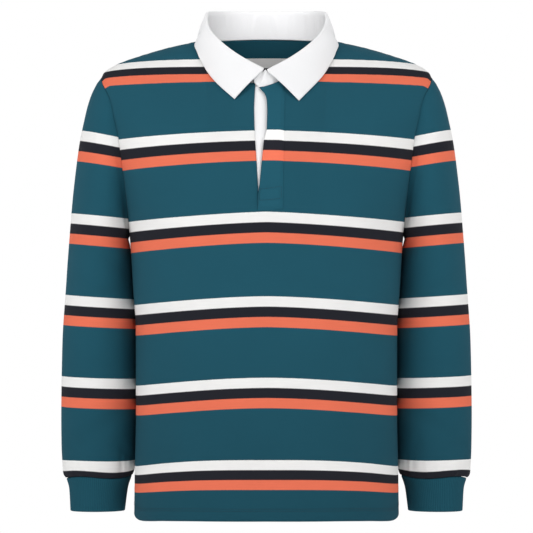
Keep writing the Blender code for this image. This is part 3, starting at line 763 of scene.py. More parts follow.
def panel_crease_sink(points, facing, side):
    sink = np.zeros(points.shape[:-1])
    towards = clamp(side * facing[..., 1]) ** 0.5
    for x0, z0, x1, z1, *shape in CREASES[side]:
        ends = (x0, z0), (x1, z1)
        sink += crease_sink(points[..., 0], points[..., 2], *ends, *shape) * towards
    return sink


def sleeve_crease_sink(turn, z, arm):
    sink = np.zeros(z.shape)
    for turn0, z0, turn1, z1, *shape in SLEEVE_CREASES[arm]:
        middle = (turn0 + turn1) / 2
        near = (np.degrees(turn) - middle + 180) % 360 - 180 + middle
        ends = (turn0 * SLEEVE_ROUND, z0), (turn1 * SLEEVE_ROUND, z1)
        sink += crease_sink(near * SLEEVE_ROUND, z, *ends, *shape)
    return sink


def pucker(along, away):
    """Small ripples beside a seam."""
    waves = sum(np.sin(2 * math.pi * along / size) for size in PUCKER_LENGTHS)
    return PUCKER * waves / len(PUCKER_LENGTHS) * np.exp(-away / PUCKER_REACH)


def seam_dip(away, depth=SEAM_DEPTH, width=SEAM_WIDTH):
    return depth * bell(away, width)


# Armhole ----------------------------------------------------------------------------------

def armhole_steps():
    """Turns of the armhole's rows, from the shoulder point down to the armpit."""
    return np.arange(ARMHOLE_STEPS + 1) * math.pi / ARMHOLE_STEPS


def armhole_share(turn):
    """Share of the armhole's height, 1 at the shoulder point and 0 at the armpit."""
    return (1 + np.cos(turn)) / 2


def armhole_seam(arm, side):
    """Seam points from the shoulder point to the armpit, and the way that they face."""
    turn = armhole_steps()
    z = mix(ARMPIT, SHOULDER_POINT, armhole_share(turn))
    x = profile(BODY, EDGE, z)
    y = body_y(x, z, side)
    y[0] = y[-1] = 0.0
    out = ARMHOLE_OUT * arm * armhole_share(turn)
    facing = unit(stack(out, side * np.sin(turn), ARMHOLE_UP * np.cos(turn)))
    return stack(arm * x, y, z), facing


def across_seam(points, facing, arm):
    """Direction along the cloth across the armhole seam, towards the sleeve."""
    along = unit(np.gradient(points, axis=0))
    across = unit(np.cross(facing, along))
    return across * np.sign(across[len(points) // 2, 0]) * arm


# Walls of cloth ---------------------------------------------------------------------------

def grid_facing(points, closed=False):
    """Unit normals of a grid whose rows run down and whose columns run anticlockwise."""
    down = np.gradient(points, axis=0)
    if closed:
        beside = (np.roll(points, -1, axis=1) - np.roll(points, 1, axis=1)) / 2
    else:
        beside = np.gradient(points, axis=1)
    return unit(np.cross(down, beside))


def cloth_wall(
    name, outer, facing, thickness, cloth, material, left_out=None, closed=False,
    rounding_share=RIM_ROUNDING,
):
    """A wall of cloth with rounded edges, inside a grid of outer points.

    The grid's rows run down the piece, and a closed grid joins its last column to its
    first. cloth has the place of each point on the flat cloth in millimetres, with one
    more column where the grid is closed. left_out marks the cells that are open.
    """
    rows, columns = outer.shape[:2]
    depth = np.broadcast_to(np.asarray(thickness, float), (rows, columns))
    inner = outer - facing * depth[..., None]
    count = rows * columns
    index = np.arange(count).reshape(rows, columns)
    if closed:
        index = np.hstack((index, index[:, :1]))
    corners = (index[:-1, :-1], index[1:, :-1], index[1:, 1:], index[:-1, 1:])
    places = (cloth[:-1, :-1], cloth[1:, :-1], cloth[1:, 1:], cloth[:-1, 1:])
    kept = np.ones(corners[0].shape, bool) if left_out is None else ~left_out
    quads = np.stack([corner[kept] for corner in corners], axis=-1)
    quad_cloth = np.stack([place[kept] for place in places], axis=1)
    flat_outer = outer.reshape(-1, 3)
    ways = facing.reshape(-1, 3)
    a, b, c = (flat_outer[quads[:, i]] for i in range(3))
    if (np.cross(b - a, c - a) * ways[quads[:, 0]]).sum() < 0:
        quads, quad_cloth = quads[:, ::-1], quad_cloth[:, ::-1]
    starts = quads.ravel()
    ends = np.roll(quads, -1, axis=1).ravel()
    rim = ~np.isin(starts * count + ends, ends * count + starts)
    first, second = starts[rim], ends[rim]
    rim_cloth = np.stack(
        (quad_cloth.reshape(-1, 2)[rim], np.roll(quad_cloth, -1, axis=1).reshape(-1, 2)[rim])
    )
    outward = np.zeros((count, 3))
    away = unit(np.cross(flat_outer[second] - flat_outer[first], ways[first]))
    np.add.at(outward, first, away)
    np.add.at(outward, second, away)
    middle = (flat_outer + inner.reshape(-1, 3)) / 2
    share = np.broadcast_to(rounding_share, (rows, columns)).reshape(-1, 1)
    rounding = unit(outward) * depth.reshape(-1, 1) * share
    flat_outer, flat_inner = flat_outer - rounding, inner.reshape(-1, 3) - rounding
    faces = np.concatenate((
        quads,
        quads[:, ::-1] + count,
        np.stack((second, first, first + 2 * count, second + 2 * count), axis=-1),
        np.stack((second + 2 * count, first + 2 * count, first + count, second + count), axis=-1),
    ))
    rim_corners = rim_cloth[[1, 0, 0, 1]].transpose(1, 0, 2)
    face_cloth = np.concatenate((quad_cloth, quad_cloth[:, ::-1], rim_corners, rim_corners))
    points = np.concatenate((flat_outer, flat_inner, middle))
    used = np.unique(faces)
    renumber = np.zeros(len(points), int)
    renumber[used] = np.arange(len(used))
    piece = new_piece(name, points[used] * METRES, renumber[faces])
    data = piece.data
    crisp = (share[first, 0] == 0) & (share[second, 0] == 0)
    pairs = np.stack((first, second), axis=-1)[crisp]
    mark_sharp(data, renumber[np.concatenate((pairs, pairs + count))])
    layer = data.uv_layers.new(name="cloth")
    layer.data.foreach_set("uv", (face_cloth * METRES).astype(np.float32).ravel())
    data.shade_smooth()
    data.materials.append(material)
    return piece


def new_piece(name, points, faces):
    data = bpy.data.meshes.new(name)
    data.from_pydata(points.tolist(), [], faces.tolist())
    piece = bpy.data.objects.new(name, data)
    bpy.context.collection.objects.link(piece)
    return piece


def mark_sharp(data, pairs):
    """Keep a mesh's edges between the given pairs of points from being smoothed."""
    edges = np.zeros(2 * len(data.edges), int)
    data.edges.foreach_get("vertices", edges)
    key = np.array((len(data.vertices), 1))
    keys = np.sort(edges.reshape(-1, 2), axis=1) @ key
    data.edges.foreach_set("use_edge_sharp", np.isin(keys, np.sort(pairs, axis=1) @ key))


def finish_piece(piece, node=None):
    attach(piece, "root")
    if node:
        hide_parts(node)


# Front and back ---------------------------------------------------------------------------

def panel_columns():
    """Shares of the half width for the columns from the side to the neck point."""
    neck_turn = math.asin(NECK_POINT_X / SHOULDER_POINT_X)
    return np.sin(np.linspace(math.pi / 2, neck_turn, SIDE_COLUMNS + 1))


def panel_rows():
    """For each row: share of the armhole's height, and height of a row below it."""
    rows = [(share, ARMPIT) for share in armhole_share(armhole_steps())]
    return rows + [(0.0, height) for height in np.linspace(ARMPIT, HEM, BODY_ROWS + 1)[1:]]


def panel_grid(side, risen):
    """Outer points of a panel, from the neck and shoulders down to the hem."""
    shares = panel_columns()
    neck_turn = np.radians(NECK_TURNS)
    rows = []
    for up, height in panel_rows():
        edge = profile(BODY, EDGE, mix(height, SHOULDER_POINT, up))
        outer = shares * edge
        inner = outer[-1] * np.sin(neck_turn)
        last = inner[-1]
        if side < 0:
            middle_z = mix(height, panel_top(np.array(0.0), side), up)
            slit = profile(PLACKET, SLIT_EDGE, middle_z)
            lap = profile(PLACKET, FOLDED_EDGE, middle_z) + BAND_UNDERCUT
        else:
            slit = lap = 0.0
        left = np.linspace(-last, slit, SLIT_LEFT_COLUMNS + 1)[1:]
        right = np.linspace(lap, last, SLIT_RIGHT_COLUMNS + 1)[:-1]
        middle = np.concatenate((left, right if side < 0 else right[1:]))
        x = np.concatenate((-outer, -inner, middle, inner[::-1], outer[::-1]))
        top = panel_top(x * SHOULDER_POINT_X / edge, side)
        if risen:
            top = top + slit_neck_rise(x, slit)
        z = mix(height, top, up)
        rows.append(stack(x, body_y(x, z, side), z - hem_drop(x, z)))
    return np.array(rows)


def panel_cloth(side, risen=False):
    """Outer points of a panel and the way that they face, with its seams and folds.

    The neck edge is level on both sides of the slit, or risen on its under side.
    """
    crease_share = bpy.context.scene.shirt_jersey.crease
    outer = panel_grid(side, risen)
    facing = body_normal(outer[..., 0], outer[..., 2], side)
    neck_column = SIDE_COLUMNS
    ends = ((-1, 0, slice(0, neck_column + 1)), (1, -1, slice(-neck_column - 1, None)))
    for arm, column, seam_columns in ends:
        facing[0, seam_columns] = unit(facing[0, seam_columns] * (1, 0, 1))
        facing[:, column] = (arm, 0, 0)
        seam, seam_facing = armhole_seam(arm, side)
        facing[: len(seam), column] = seam_facing
        outer[: len(seam), column] = seam - across_seam(seam, seam_facing, arm) * GAP / 2
        outer[len(seam) - 1:, column, 1] = side * GAP / 2
        outer[0, seam_columns, 1] = side * GAP / 2
    from_side = np.minimum(reach(outer, 1), reach(outer, 1, from_end=True))
    from_top = reach(outer, 0)
    is_shoulder = np.abs(outer[0, :, 0]) > NECK_POINT_X - TOUCH
    near_edge = np.minimum(from_side, np.where(is_shoulder, from_top, from_side))
    fade = clamp(near_edge / FOLD_EDGE_FADE) ** FOLD_FADE_POWER
    sink = fold_sink(outer, facing) * fade
    sink += panel_crease_sink(outer, facing, side) * fade * crease_share
    armhole = profile(PANEL_SEAM_DEPTH, 1, np.degrees(armhole_steps()))
    below_armpit = ARMPIT - outer[len(armhole):, 0, 2]
    side_seam = np.minimum(SEAM_DEPTH, SIDE_SEAM_SLOPE * below_armpit)
    depth = np.concatenate((armhole, side_seam))[:, None]
    sink += seam_dip(from_side, depth) + pucker(from_top, from_side)
    shoulder = seam_dip(from_top, SHOULDER_SEAM_DEPTH) + pucker(from_side, from_top)
    shoulder *= clamp(from_side / SHOULDER_SEAM_FADE)
    sink += np.where(is_shoulder, shoulder, 0.0)
    return outer - sink[..., None] * facing, facing


def settled_facing(outer, facing):
    """Normals of the creased cloth, kept as they were along its edges."""
    settled = grid_facing(outer)
    settled *= np.sign((settled * facing).sum(axis=-1, keepdims=True))
    settled[0], settled[:, 0], settled[:, -1] = facing[0], facing[:, 0], facing[:, -1]
    return settled


def panel_flat(outer, side):
    """Place of each point on the flat cloth: across from the middle, and down."""
    along = reach(outer, 1)
    middle = along[:, outer.shape[1] // 2][:, None]
    across = np.abs(outer[..., 0]) / DROOP_X
    levels = FRONT_LEVELS if side < 0 else BACK_LEVELS
    down = cloth_level(outer[..., 2], across, levels)
    if side < 0:
        from_side = np.minimum(along, along[:, -1:] - along)
        high = clamp((outer[..., 2] - SEAM_HOOK_FOOT) / (SHOULDER_POINT - SEAM_HOOK_FOOT))
        down -= SEAM_HOOK * high * bell(from_side, SEAM_HOOK_REACH)
    return np.stack((along - middle, down), axis=-1)


def panel(name, side, material):
    jersey = bpy.context.scene.shirt_jersey
    outer, facing = panel_cloth(side, risen=side < 0)
    thickness = np.full(outer.shape[:2], millimetres(jersey.thickness))
    thickness[round(HEM_TURN_UP / (HEM - ARMPIT) * BODY_ROWS):] = millimetres(jersey.hem)
    left_out = None
    if side < 0:
        left_out = np.zeros((outer.shape[0] - 1, outer.shape[1] - 1), bool)
        left_out[: SLIT_FOOT_ROW * REFINE, SLIT_COLUMN] = True
    flat = panel_flat(outer, side)
    facing = settled_facing(outer, facing)
    return cloth_wall(name, outer, facing, thickness, flat, material, left_out)


# Sleeves and cuffs ------------------------------------------------------------------------

def oval_ring(arm, row, middle_y, turn):
    """A ring seen edge-on from the front, from its outer end round by the front."""
    outer_x, outer_z, inner_x, inner_z, half_depth = row
    middle_x, middle_z = (outer_x + inner_x) / 2, (outer_z + inner_z) / 2
    x = arm * (middle_x + (outer_x - inner_x) / 2 * np.cos(turn))
    z = middle_z + (outer_z - inner_z) / 2 * np.cos(turn)
    return stack(x, middle_y - half_depth * np.sin(turn), z)


def cuff_wave(arm, turn, z):
    """Rise and fall of the cloth near the cuff's seam."""
    near = bell(z - SLEEVE[-1][2], CUFF_SEAM_REACH)
    return -CUFF_SEAM_WAVE * np.cos(3 * turn + CUFF_SEAM_START[arm]) * near


def sleeve_rings(arm):
    """Outer points of a sleeve, ring by ring from the armhole to the wrist."""
    front, front_facing = armhole_seam(arm, -1)
    back, back_facing = armhole_seam(arm, 1)
    seam = np.concatenate((front, back[-2:0:-1]))
    seam_facing = np.concatenate((front_facing, back_facing[-2:0:-1]))
    across = np.concatenate((
        across_seam(front, front_facing, arm),
        across_seam(back, back_facing, arm)[-2:0:-1],
    ))
    turn = np.arange(2 * ARMHOLE_STEPS) * math.pi / ARMHOLE_STEPS
    top = (SHOULDER_POINT_X, SHOULDER_POINT, front[-1, 0] * arm, ARMPIT, 0.0)
    straight = oval_ring(arm, top, 0.0, turn)
    seam_ring = seam + across * GAP / 2
    rings = []
    for level in np.linspace(0, len(SLEEVE), len(SLEEVE) * RINGS_PER_ROW + 1):
        *row, half_depth, oval_share, middle_y = (
            profile(SLEEVE, column, level) for column in range(1, 8)
        )
        oval = oval_ring(arm, (*row, half_depth), middle_y, turn)
        armhole_shape = oval + (seam - straight)
        armhole_shape[:, 1] = seam[:, 1] * half_depth / np.abs(seam[:, 1]).max() + middle_y
        ring = mix(armhole_shape, oval, oval_share)
        rings.append(mix(seam_ring, ring, min(level, 1.0)))
    return np.array(rings), seam_facing, turn


def sleeve(name, arm, material):
    jersey = bpy.context.scene.shirt_jersey
    rings, seam_facing, turn = sleeve_rings(arm)
    facing = grid_facing(rings, closed=True) * -arm
    facing[0] = seam_facing
    turns = np.broadcast_to(turn, rings.shape[:2])
    from_seam, from_cuff = reach(rings, 0), reach(rings, 0, from_end=True)
    gathers = sum(
        share * np.sin(number * turns + start + arm) for number, start, share in GATHER_WAVES
    )
    fade = clamp(from_seam / FOLD_EDGE_FADE) * clamp(from_cuff / FOLD_EDGE_FADE)
    seam_length = reach(rings[:1], 1)
    sink = fold_sink(rings, facing) * fade
    sink += sleeve_crease_sink(turns, rings[..., 2], arm) * fade * jersey.crease
    gathers *= GATHER * np.exp(-from_cuff / GATHER_REACH)
    sink += gathers * clamp(from_cuff / GATHER_FADE)
    seam_depth = profile(SLEEVE_SEAM_DEPTH, 1, np.degrees(np.minimum(turn, 2 * math.pi - turn)))
    sink += seam_dip(from_seam, seam_depth, SLEEVE_SEAM_WIDTH) + pucker(seam_length, from_seam)
    rings = rings - sink[..., None] * facing
    outer_x = profile([row[2:0:-1] for row in SLEEVE], 1, rings[..., 2])
    inward = (outer_x - np.abs(rings[..., 0])) / SLEEVE_FALL_X
    inward = np.clip(inward, 0, SLEEVE_FALL_LIMIT)
    down = cloth_level(rings[..., 2] - SLEEVE_LIFT[arm], inward, SLEEVE_LEVELS)
    rings[..., 2] += cuff_wave(arm, turns, rings[..., 2])
    closed_turn = np.append(turn, 2 * math.pi)
    around = np.broadcast_to(np.degrees(closed_turn) * SLEEVE_ROUND, (len(rings), len(turn) + 1))
    flat = np.stack((around, np.hstack((down, down[:, :1]))), axis=-1)
    facing = grid_facing(rings, closed=True) * -arm
    facing[0] = seam_facing
    thick = millimetres(jersey.thickness)
    return cloth_wall(name, rings, facing, thick, flat, material, closed=True)


def cuff(name, arm, material):
    trim = bpy.context.scene.shirt_trim
    columns = trim.ribs * RIB_SAMPLES
    turn = np.arange(columns) * 2 * math.pi / columns
    levels = np.linspace(0, CUFF[-1][0], CUFF_RINGS)
    rings = np.array([
        oval_ring(
            arm, [profile(CUFF, column, level) for column in range(1, 6)], CUFF_MIDDLE_Y, turn
        )
        for level in levels
    ])
    turns = np.broadcast_to(turn, rings.shape[:2])
    facing = grid_facing(rings, closed=True) * -arm
    from_top = reach(rings, 0)
    groove = millimetres(trim.rib_depth) * (1 - np.cos(trim.ribs * turns)) / 2
    rings = rings - (groove + seam_dip(from_top, CUFF_SEAM_DEPTH))[..., None] * facing
    rings[..., 2] += cuff_wave(arm, turns, rings[..., 2])
    around = np.arange(columns + 1) / RIB_SAMPLES * RIB_PITCH
    flat = np.stack(np.broadcast_arrays(around, from_top[:, :1]), axis=-1)
    thick = millimetres(trim.rib)
    return cloth_wall(name, rings, facing, thick, flat, material, closed=True)


# Placket ----------------------------------------------------------------------------------

def along_row(row, x, values):
    """Values of a row of the grid at the given places across it."""
    return np.stack([np.interp(x, row[:, 0], values[:, axis]) for axis in range(3)], axis=-1)


def placket_strip(left, right, foot_row, top_rise=None, columns=UNDER_COLUMNS, row_step=1.0):
    """Points on the front between two edges, and the way that they face."""
    front, front_facing = panel_cloth(-1)
    share = np.linspace(0, 1, columns + 1)
    points, facing = [], []
    top, foot = STRIP_TOP_ROW * REFINE, foot_row * REFINE
    for row in (top, *np.arange(math.ceil(top), foot, row_step), foot):
        upper = math.floor(row)
        down = row - upper
        guide_z = mix(*front[upper:upper + 2, SLIT_COLUMN:SLIT_COLUMN + 2, 2].mean(axis=1), down)
        x = mix(left(guide_z), right(guide_z), share)
        for values, out in ((front, points), (front_facing, facing)):
            out.append(mix(
                along_row(front[upper], x, values[upper]),
                along_row(front[upper + 1], x, values[upper + 1]),
                down,
            ))
    points, facing = np.array(points), np.array(facing)
    if top_rise:
        rise = profile(top_rise, 1, share)[:, None] * unit(points[:1] - points[REFINE])
        risen = [points[:1] + rise * part for part in RISE_STEPS]
        points = np.concatenate((*risen, points))
        facing = np.concatenate((facing[[0] * len(RISE_STEPS)], facing))
    return points, facing


def strip_flat(points):
    across = np.abs(points[..., 0]) / DROOP_X
    down = cloth_level(points[..., 2], across, FRONT_LEVELS)
    return np.stack((points[..., 0], down), axis=-1)


def box_dip(points):
    """How far the sewing of the box pulls the band in."""
    x, height = points[..., 0], points[..., 2]
    from_fold, from_seam = reach(points, 1), reach(points, 1, from_end=True)
    upper, lower = BOX_STITCHES
    across = clamp(from_fold - BOX_INSET + 1) * clamp(from_seam - BOX_INSET + 1)
    beside = clamp(upper - height + 1) * clamp(height - lower + 1)
    fast, slow = (np.sin(x * wave + start) for wave, start in BOX_PULL_WAVES)
    pulls = 1 - BOX_PULL_SHARE * (1 - fast * slow)
    dip = seam_dip(height - lower, BOX_EVEN, BOX_DIP_WIDTH) * across
    dip += seam_dip(from_fold - BOX_INSET, BOX_EVEN, BOX_DIP_WIDTH) * beside
    for above, share, sway, wave in BOX_TOP_DIPS:
        away = height - upper - above - sway * np.sin(x * wave)
        dip += seam_dip(away, share, BOX_DIP_WIDTH) * across * pulls
    return BOX_DIP * clamp(dip) * clamp(from_seam / BAND_SEAM_WIDTH)


def band_points():
    """Outer points of the placket band, the way that they face, and its thickness."""
    thick = millimetres(bpy.context.scene.shirt_jersey.band)
    points, facing = placket_strip(
        lambda z: profile(PLACKET, FOLDED_EDGE, z),
        lambda z: profile(PLACKET, BAND_SEAM, z),
        BAND_FOOT_ROW, columns=BAND_COLUMNS, row_step=BAND_ROW_STEP,
    )
    from_seam = reach(points, 1, from_end=True)
    from_foot = reach(points, 0, from_end=True)
    near = bell(np.minimum(from_seam, from_foot), BAND_SEAM_WIDTH)
    thickness = thick - BAND_SEAM_DIP * near - box_dip(points)
    lift = thickness + LAY_GAP * (1 - BAND_SEAM_CLOSE * near)
    return points + facing * lift[..., None], facing, thickness, points


def placket_band(material):
    outer, facing, thickness, points = band_points()
    flat = strip_flat(points)
    return cloth_wall("placket_band_cloth", outer, facing, thickness, flat, material)


def placket_under(material):
    thick = millimetres(bpy.context.scene.shirt_jersey.thickness)
    points, facing = placket_strip(
        lambda z: profile(PLACKET, SLIT_EDGE, z) - UNDER_PLACKET_LAP,
        lambda z: profile(PLACKET, FOLDED_EDGE, z) + BAND_UNDERCUT + UNDER_PLACKET_LAP,
        UNDER_FOOT_ROW, UNDER_TOP_RISE,
    )
    slit = profile(PLACKET, SLIT_EDGE, points[..., 2])
    wide = profile(PLACKET, FOLDED_EDGE, points[..., 2]) - slit
    across = clamp((points[..., 0] - slit) / np.maximum(wide, UNDER_LEAST_WIDTH))
    bulge = UNDER_BULGE * np.sin(math.pi * across) * clamp(wide / UNDER_BULGE_WIDTH)
    outer = points - facing * (thick + LAY_GAP - bulge)[..., None]
    drill = millimetres(bpy.context.scene.shirt_trim.drill)
    flat = points[..., (0, 2)]
    return cloth_wall("placket_under_cloth", outer, facing, drill, flat, material)


# Collar -----------------------------------------------------------------------------------

def fall_turns():
    """Turns of the fall's columns, from the front round by the wearer's right."""
    return np.linspace(FALL_START, FALL_END, round((FALL_END - FALL_START) / COLLAR_STEP))


def half_turn(turn):
    """The turn from the front, by whichever side is nearer."""
    return np.abs((turn + 180) % 360 - 180)


def collar_edge_height(turn):
    near_left_point = clamp(1 - (360 - POINT_TURN - turn) / LEFT_DROP_REACH)
    return profile(COLLAR_EDGE, 1, half_turn(turn)) - LEFT_POINT_DROP * near_left_point ** 2


def collar_fold(turn):
    angle = np.radians(turn)
    x = -COLLAR_FOLD_X * np.sin(angle)
    y = COLLAR_MIDDLE_Y - COLLAR_FOLD_Y * np.cos(angle)
    return stack(x, y, profile(COLLAR_FOLD, 1, half_turn(turn)))


def fold_frame(turn):
    """At each turn of the fold: the way out from the neck, and down square to the fold."""
    along = unit(collar_fold(turn + 0.5) - collar_fold(turn - 0.5))
    way_out = unit(np.cross((0.0, 0.0, 1.0), along))
    return way_out, np.cross(way_out, along)


def neck_seam(turn):
    """Points of the panels' neck edges at the given turns."""
    angle = np.radians(turn)
    x = -NECK_POINT_X * np.sin(angle)
    over, back = (panel_cloth(side)[0][0] for side in (-1, 1))
    under = panel_cloth(-1, risen=True)[0][0]
    past_middle, in_front = (turn > 180)[:, None], (np.cos(angle) > 0)[:, None]
    front = np.where(past_middle, along_row(over, x, over), along_row(under, x, under))
    return np.where(in_front, front, along_row(back, x, back))


def on_the_shirt(turn, height):
    """Where a level line out from the neck's middle meets the shirt, and its facing."""
    angle = np.radians(turn)
    near, far = (np.full(turn.shape, away) for away in COLLAR_SEARCH)
    for _ in range(COLLAR_HALVINGS):
        middle = (near + far) / 2
        x = -middle * np.sin(angle)
        y = COLLAR_MIDDLE_Y - middle * np.cos(angle)
        cloth = np.where(y < 0, -body_y(x, height, -1), body_y(x, height, 1))
        inside = np.abs(y) < cloth
        near, far = np.where(inside, middle, near), np.where(inside, far, middle)
    in_front = (y < 0)[:, None]
    facing = np.where(in_front, body_normal(x, height, -1), body_normal(x, height, 1))
    return stack(x, y, height), facing


def fall_points():
    """Outer points of the fall from its fold to its edge, and the way that they face."""
    turn = fall_turns()
    fold = collar_fold(turn)
    share = (turn - FALL_START) / (FALL_END - FALL_START)
    edge_turn = mix(POINT_TURN, 360 - POINT_TURN, share)
    edge, shirt_facing = on_the_shirt(edge_turn, collar_edge_height(edge_turn))
    edge = edge + shirt_facing * FALL_LIFT
    way_out, way_down = fold_frame(turn)
    rows = []
    for step in np.linspace(0, FALL_ROLL[-1][0], FALL_ROLL_ROWS):
        out, down = (profile(FALL_ROLL, column, step) for column in (1, 2))
        rows.append(fold + way_out * out + way_down * down)
    rolled = rows[-1]
    bulge_way = unit(way_out + np.array((0.0, 0.0, FALL_BULGE_UP)))
    for along in np.arange(1, FALL_ROWS + 1) / FALL_ROWS:
        bulge = FALL_BULGE * math.sin(math.pi * along)
        rows.append(mix(rolled, edge, along) + bulge_way * bulge)
    outer = np.array(rows)
    facing = -grid_facing(outer)
    facing[0] = -way_out
    return outer, facing


def stand_points():
    """Outer points of the stand from its top to the neck seam, and the way they face."""
    over = np.array(STAND_OVER_END)
    over_turn = np.linspace(over[0, 0], over[-1, 0], STAND_OVER_COLUMNS)
    turn = np.concatenate((STAND_UNDER_END, fall_turns(), over_turn))
    trim = bpy.context.scene.shirt_trim
    drill = millimetres(trim.drill)
    below_fold = np.full(turn.shape, FALL_ROLL[0][2] + FOLD_GAP)
    below_fold[-STAND_OVER_COLUMNS:] = profile(STAND_OVER_END, 1, over_turn)
    way_out, way_down = fold_frame(turn)
    top = collar_fold(turn) + way_down * below_fold[:, None] + way_out * drill
    foot = neck_seam(turn)
    foot[:, 2] += GAP
    foot[-STAND_OVER_COLUMNS:, 2] += profile(STAND_OVER_END, 2, over_turn)
    lapped = clamp((STAND_LAP_END - turn) / (STAND_LAP_END - STAND_LAP_START))
    stand_off = way_out * (STAND_LAP * lapped ** 2)[:, None]
    outer = np.array([
        mix(top, foot, along) - stand_off for along in np.linspace(0, 1, STAND_ROWS + 1)
    ])
    facing = -grid_facing(outer)
    around, down = np.broadcast_arrays(turn * COLLAR_ROUND, reach(outer, 0))
    sink = np.zeros(down.shape)
    for turn0, down0, turn1, down1, *shape in STAND_CREASES:
        ends = (turn0 * COLLAR_ROUND, down0), (turn1 * COLLAR_ROUND, down1)
        sink += crease_sink(around, down, *ends, *shape)
    outer = outer - facing * sink[..., None]
    facing = -grid_facing(outer)
    facing[0] = way_out
    return outer, facing


def grid_flat(outer):
    """Place on the flat cloth by the lengths along a grid's rows and columns."""
    return np.stack((reach(outer, 1), reach(outer, 0)), axis=-1)


# Stitches ---------------------------------------------------------------------------------

def inset_line(points, facing, inset, along_columns=True, from_end=True):
    """The line at a given inset from one edge of a grid, and the way that it faces."""
    axis = 0 if along_columns else 1
    away = reach(points, axis, from_end)
    if not along_columns:
        points, facing, away = points.swapaxes(0, 1), facing.swapaxes(0, 1), away.T
    if from_end:
        points, facing, away = points[::-1], facing[::-1], away[::-1]
    line, ways = [], []
    for column in range(points.shape[1]):
        run = away[:, column]
        for values, out in ((points, line), (facing, ways)):
            out.append([np.interp(inset, run, values[:, column, axis]) for axis in range(3)])
    return np.array(line), np.array(ways)


def spaced_along(line, ways, step):
    """Evenly spaced places along a line: points, directions and the way they face."""
    run = np.concatenate(([0], np.cumsum(np.linalg.norm(np.diff(line, axis=0), axis=1))))
    at = np.arange(step / 2, run[-1], step)

    def read(values, places):
        return np.stack([np.interp(places, run, values[:, i]) for i in range(3)], axis=-1)

    direction = unit(read(line, np.minimum(at + step / 4, run[-1])) - read(line, at - step / 4))
    return read(line, at), direction, unit(read(ways, at))


def sewn_lines(name, lines, material):
    """One mesh of stitches along lines, each stitch a short length of thread."""
    trim = bpy.context.scene.shirt_trim
    size, thread = millimetres(trim.stitch), millimetres(trim.thread)
    step = size + millimetres(trim.stitch_gap)
    angle = np.arange(STITCH_SIDES) * 2 * math.pi / STITCH_SIDES
    bow = [STITCH_BOW * (1 - (2 * along) ** 2) for along, _ in STITCH_RINGS]
    all_points, all_faces, count = [], [], 0
    ring = np.arange(STITCH_SIDES)
    beside = np.roll(ring, -1)
    template = np.concatenate([
        np.stack((ring, beside, beside + STITCH_SIDES, ring + STITCH_SIDES), -1) + k * STITCH_SIDES
        for k in range(len(STITCH_RINGS) - 1)
    ])
    for line, ways in lines:
        middle, along, up = spaced_along(line, ways, step)
        across = unit(np.cross(along, up))
        points = np.concatenate([
            middle[:, None]
            + along[:, None] * (place * size)
            + across[:, None] * (np.cos(angle) * wide * thread / 2 * STITCH_WIDTH)[:, None]
            + up[:, None] * (np.sin(angle) * wide * thread / 2 + lift * thread)[:, None]
            for (place, wide), lift in zip(STITCH_RINGS, bow)
        ], axis=1)
        per_stitch = len(STITCH_RINGS) * STITCH_SIDES
        offset = count + np.arange(len(middle)) * per_stitch
        all_points.append(points.reshape(-1, 3))
        all_faces.append((template[None] + offset[:, None, None]).reshape(-1, 4))
        count += len(middle) * per_stitch
    piece = new_piece(name, np.concatenate(all_points) * METRES, np.concatenate(all_faces))
    bpy.ops.object.select_all(action="DESELECT")
    piece.select_set(True)
    bpy.context.view_layer.objects.active = piece
    bpy.ops.object.mode_set(mode="EDIT")
    bpy.ops.mesh.select_all(action="SELECT")
    bpy.ops.mesh.remove_doubles(threshold=STITCH_WELD)
    bpy.ops.mesh.normals_make_consistent(inside=False)
    bpy.ops.object.mode_set(mode="OBJECT")
    piece.data.shade_smooth()
    piece.data.materials.append(material)
    return piece


def hem_lines(side):
    outer, facing = panel_cloth(side)
    lines = []
    for above in HEM_STITCHES:
        line, ways = inset_line(outer[-HEM_ROWS:], facing[-HEM_ROWS:], above)
        lines.append((line[1:-1], ways[1:-1]))
    return lines


def box_lines():
    """The box at the band's foot: two level rows, joined by a row at each side."""
    outer, facing, _, _ = band_points()
    level = [int(np.abs(outer[:, 0, 2] - height).argmin()) for height in BOX_STITCHES]
    along = reach(outer, 1)
    lines = []
    for row in level:
        inside = (along[row] > BOX_INSET) & (along[row] < along[row, -1] - BOX_INSET)
        lines.append((outer[row, inside], facing[row, inside]))
    for from_end in (False, True):
        part = slice(level[0], level[1] + 1)
        lines.append(inset_line(outer[part], facing[part], BOX_INSET, False, from_end))
    return lines


def fall_lines():
    """Along the fall's two front edges and its lower edge."""
    outer, facing = fall_points()
    inset = COLLAR_STITCH_INSET
    lower, lower_ways = inset_line(outer, facing, inset)
    from_start, from_end = (reach(outer, 1, end)[COLLAR_STITCH_ROW] for end in (False, True))
    inside = (from_start > inset) & (from_end > inset)
    lines = [(lower[inside], lower_ways[inside])]
    from_edge = reach(outer, 0, True)[:, 0]
    kept = (from_edge > inset) & (np.arange(len(from_edge)) > FALL_ROLL_ROWS // 2)
    for at_end in (False, True):
        line, ways = inset_line(outer, facing, inset, False, at_end)
        lines.append((line[kept], ways[kept]))
    return lines


def stand_lines():
    """Inside the stand, above the neck seam, round the back of the neck."""
    outer, facing = stand_points()
    inner = outer - facing * millimetres(bpy.context.scene.shirt_trim.drill)
    line, ways = inset_line(inner, -facing, STAND_STITCH_INSET)
    behind = line[:, 1] > COLLAR_MIDDLE_Y - STAND_STITCH_FRONT
    return [(line[behind], ways[behind])]


# Materials --------------------------------------------------------------------------------

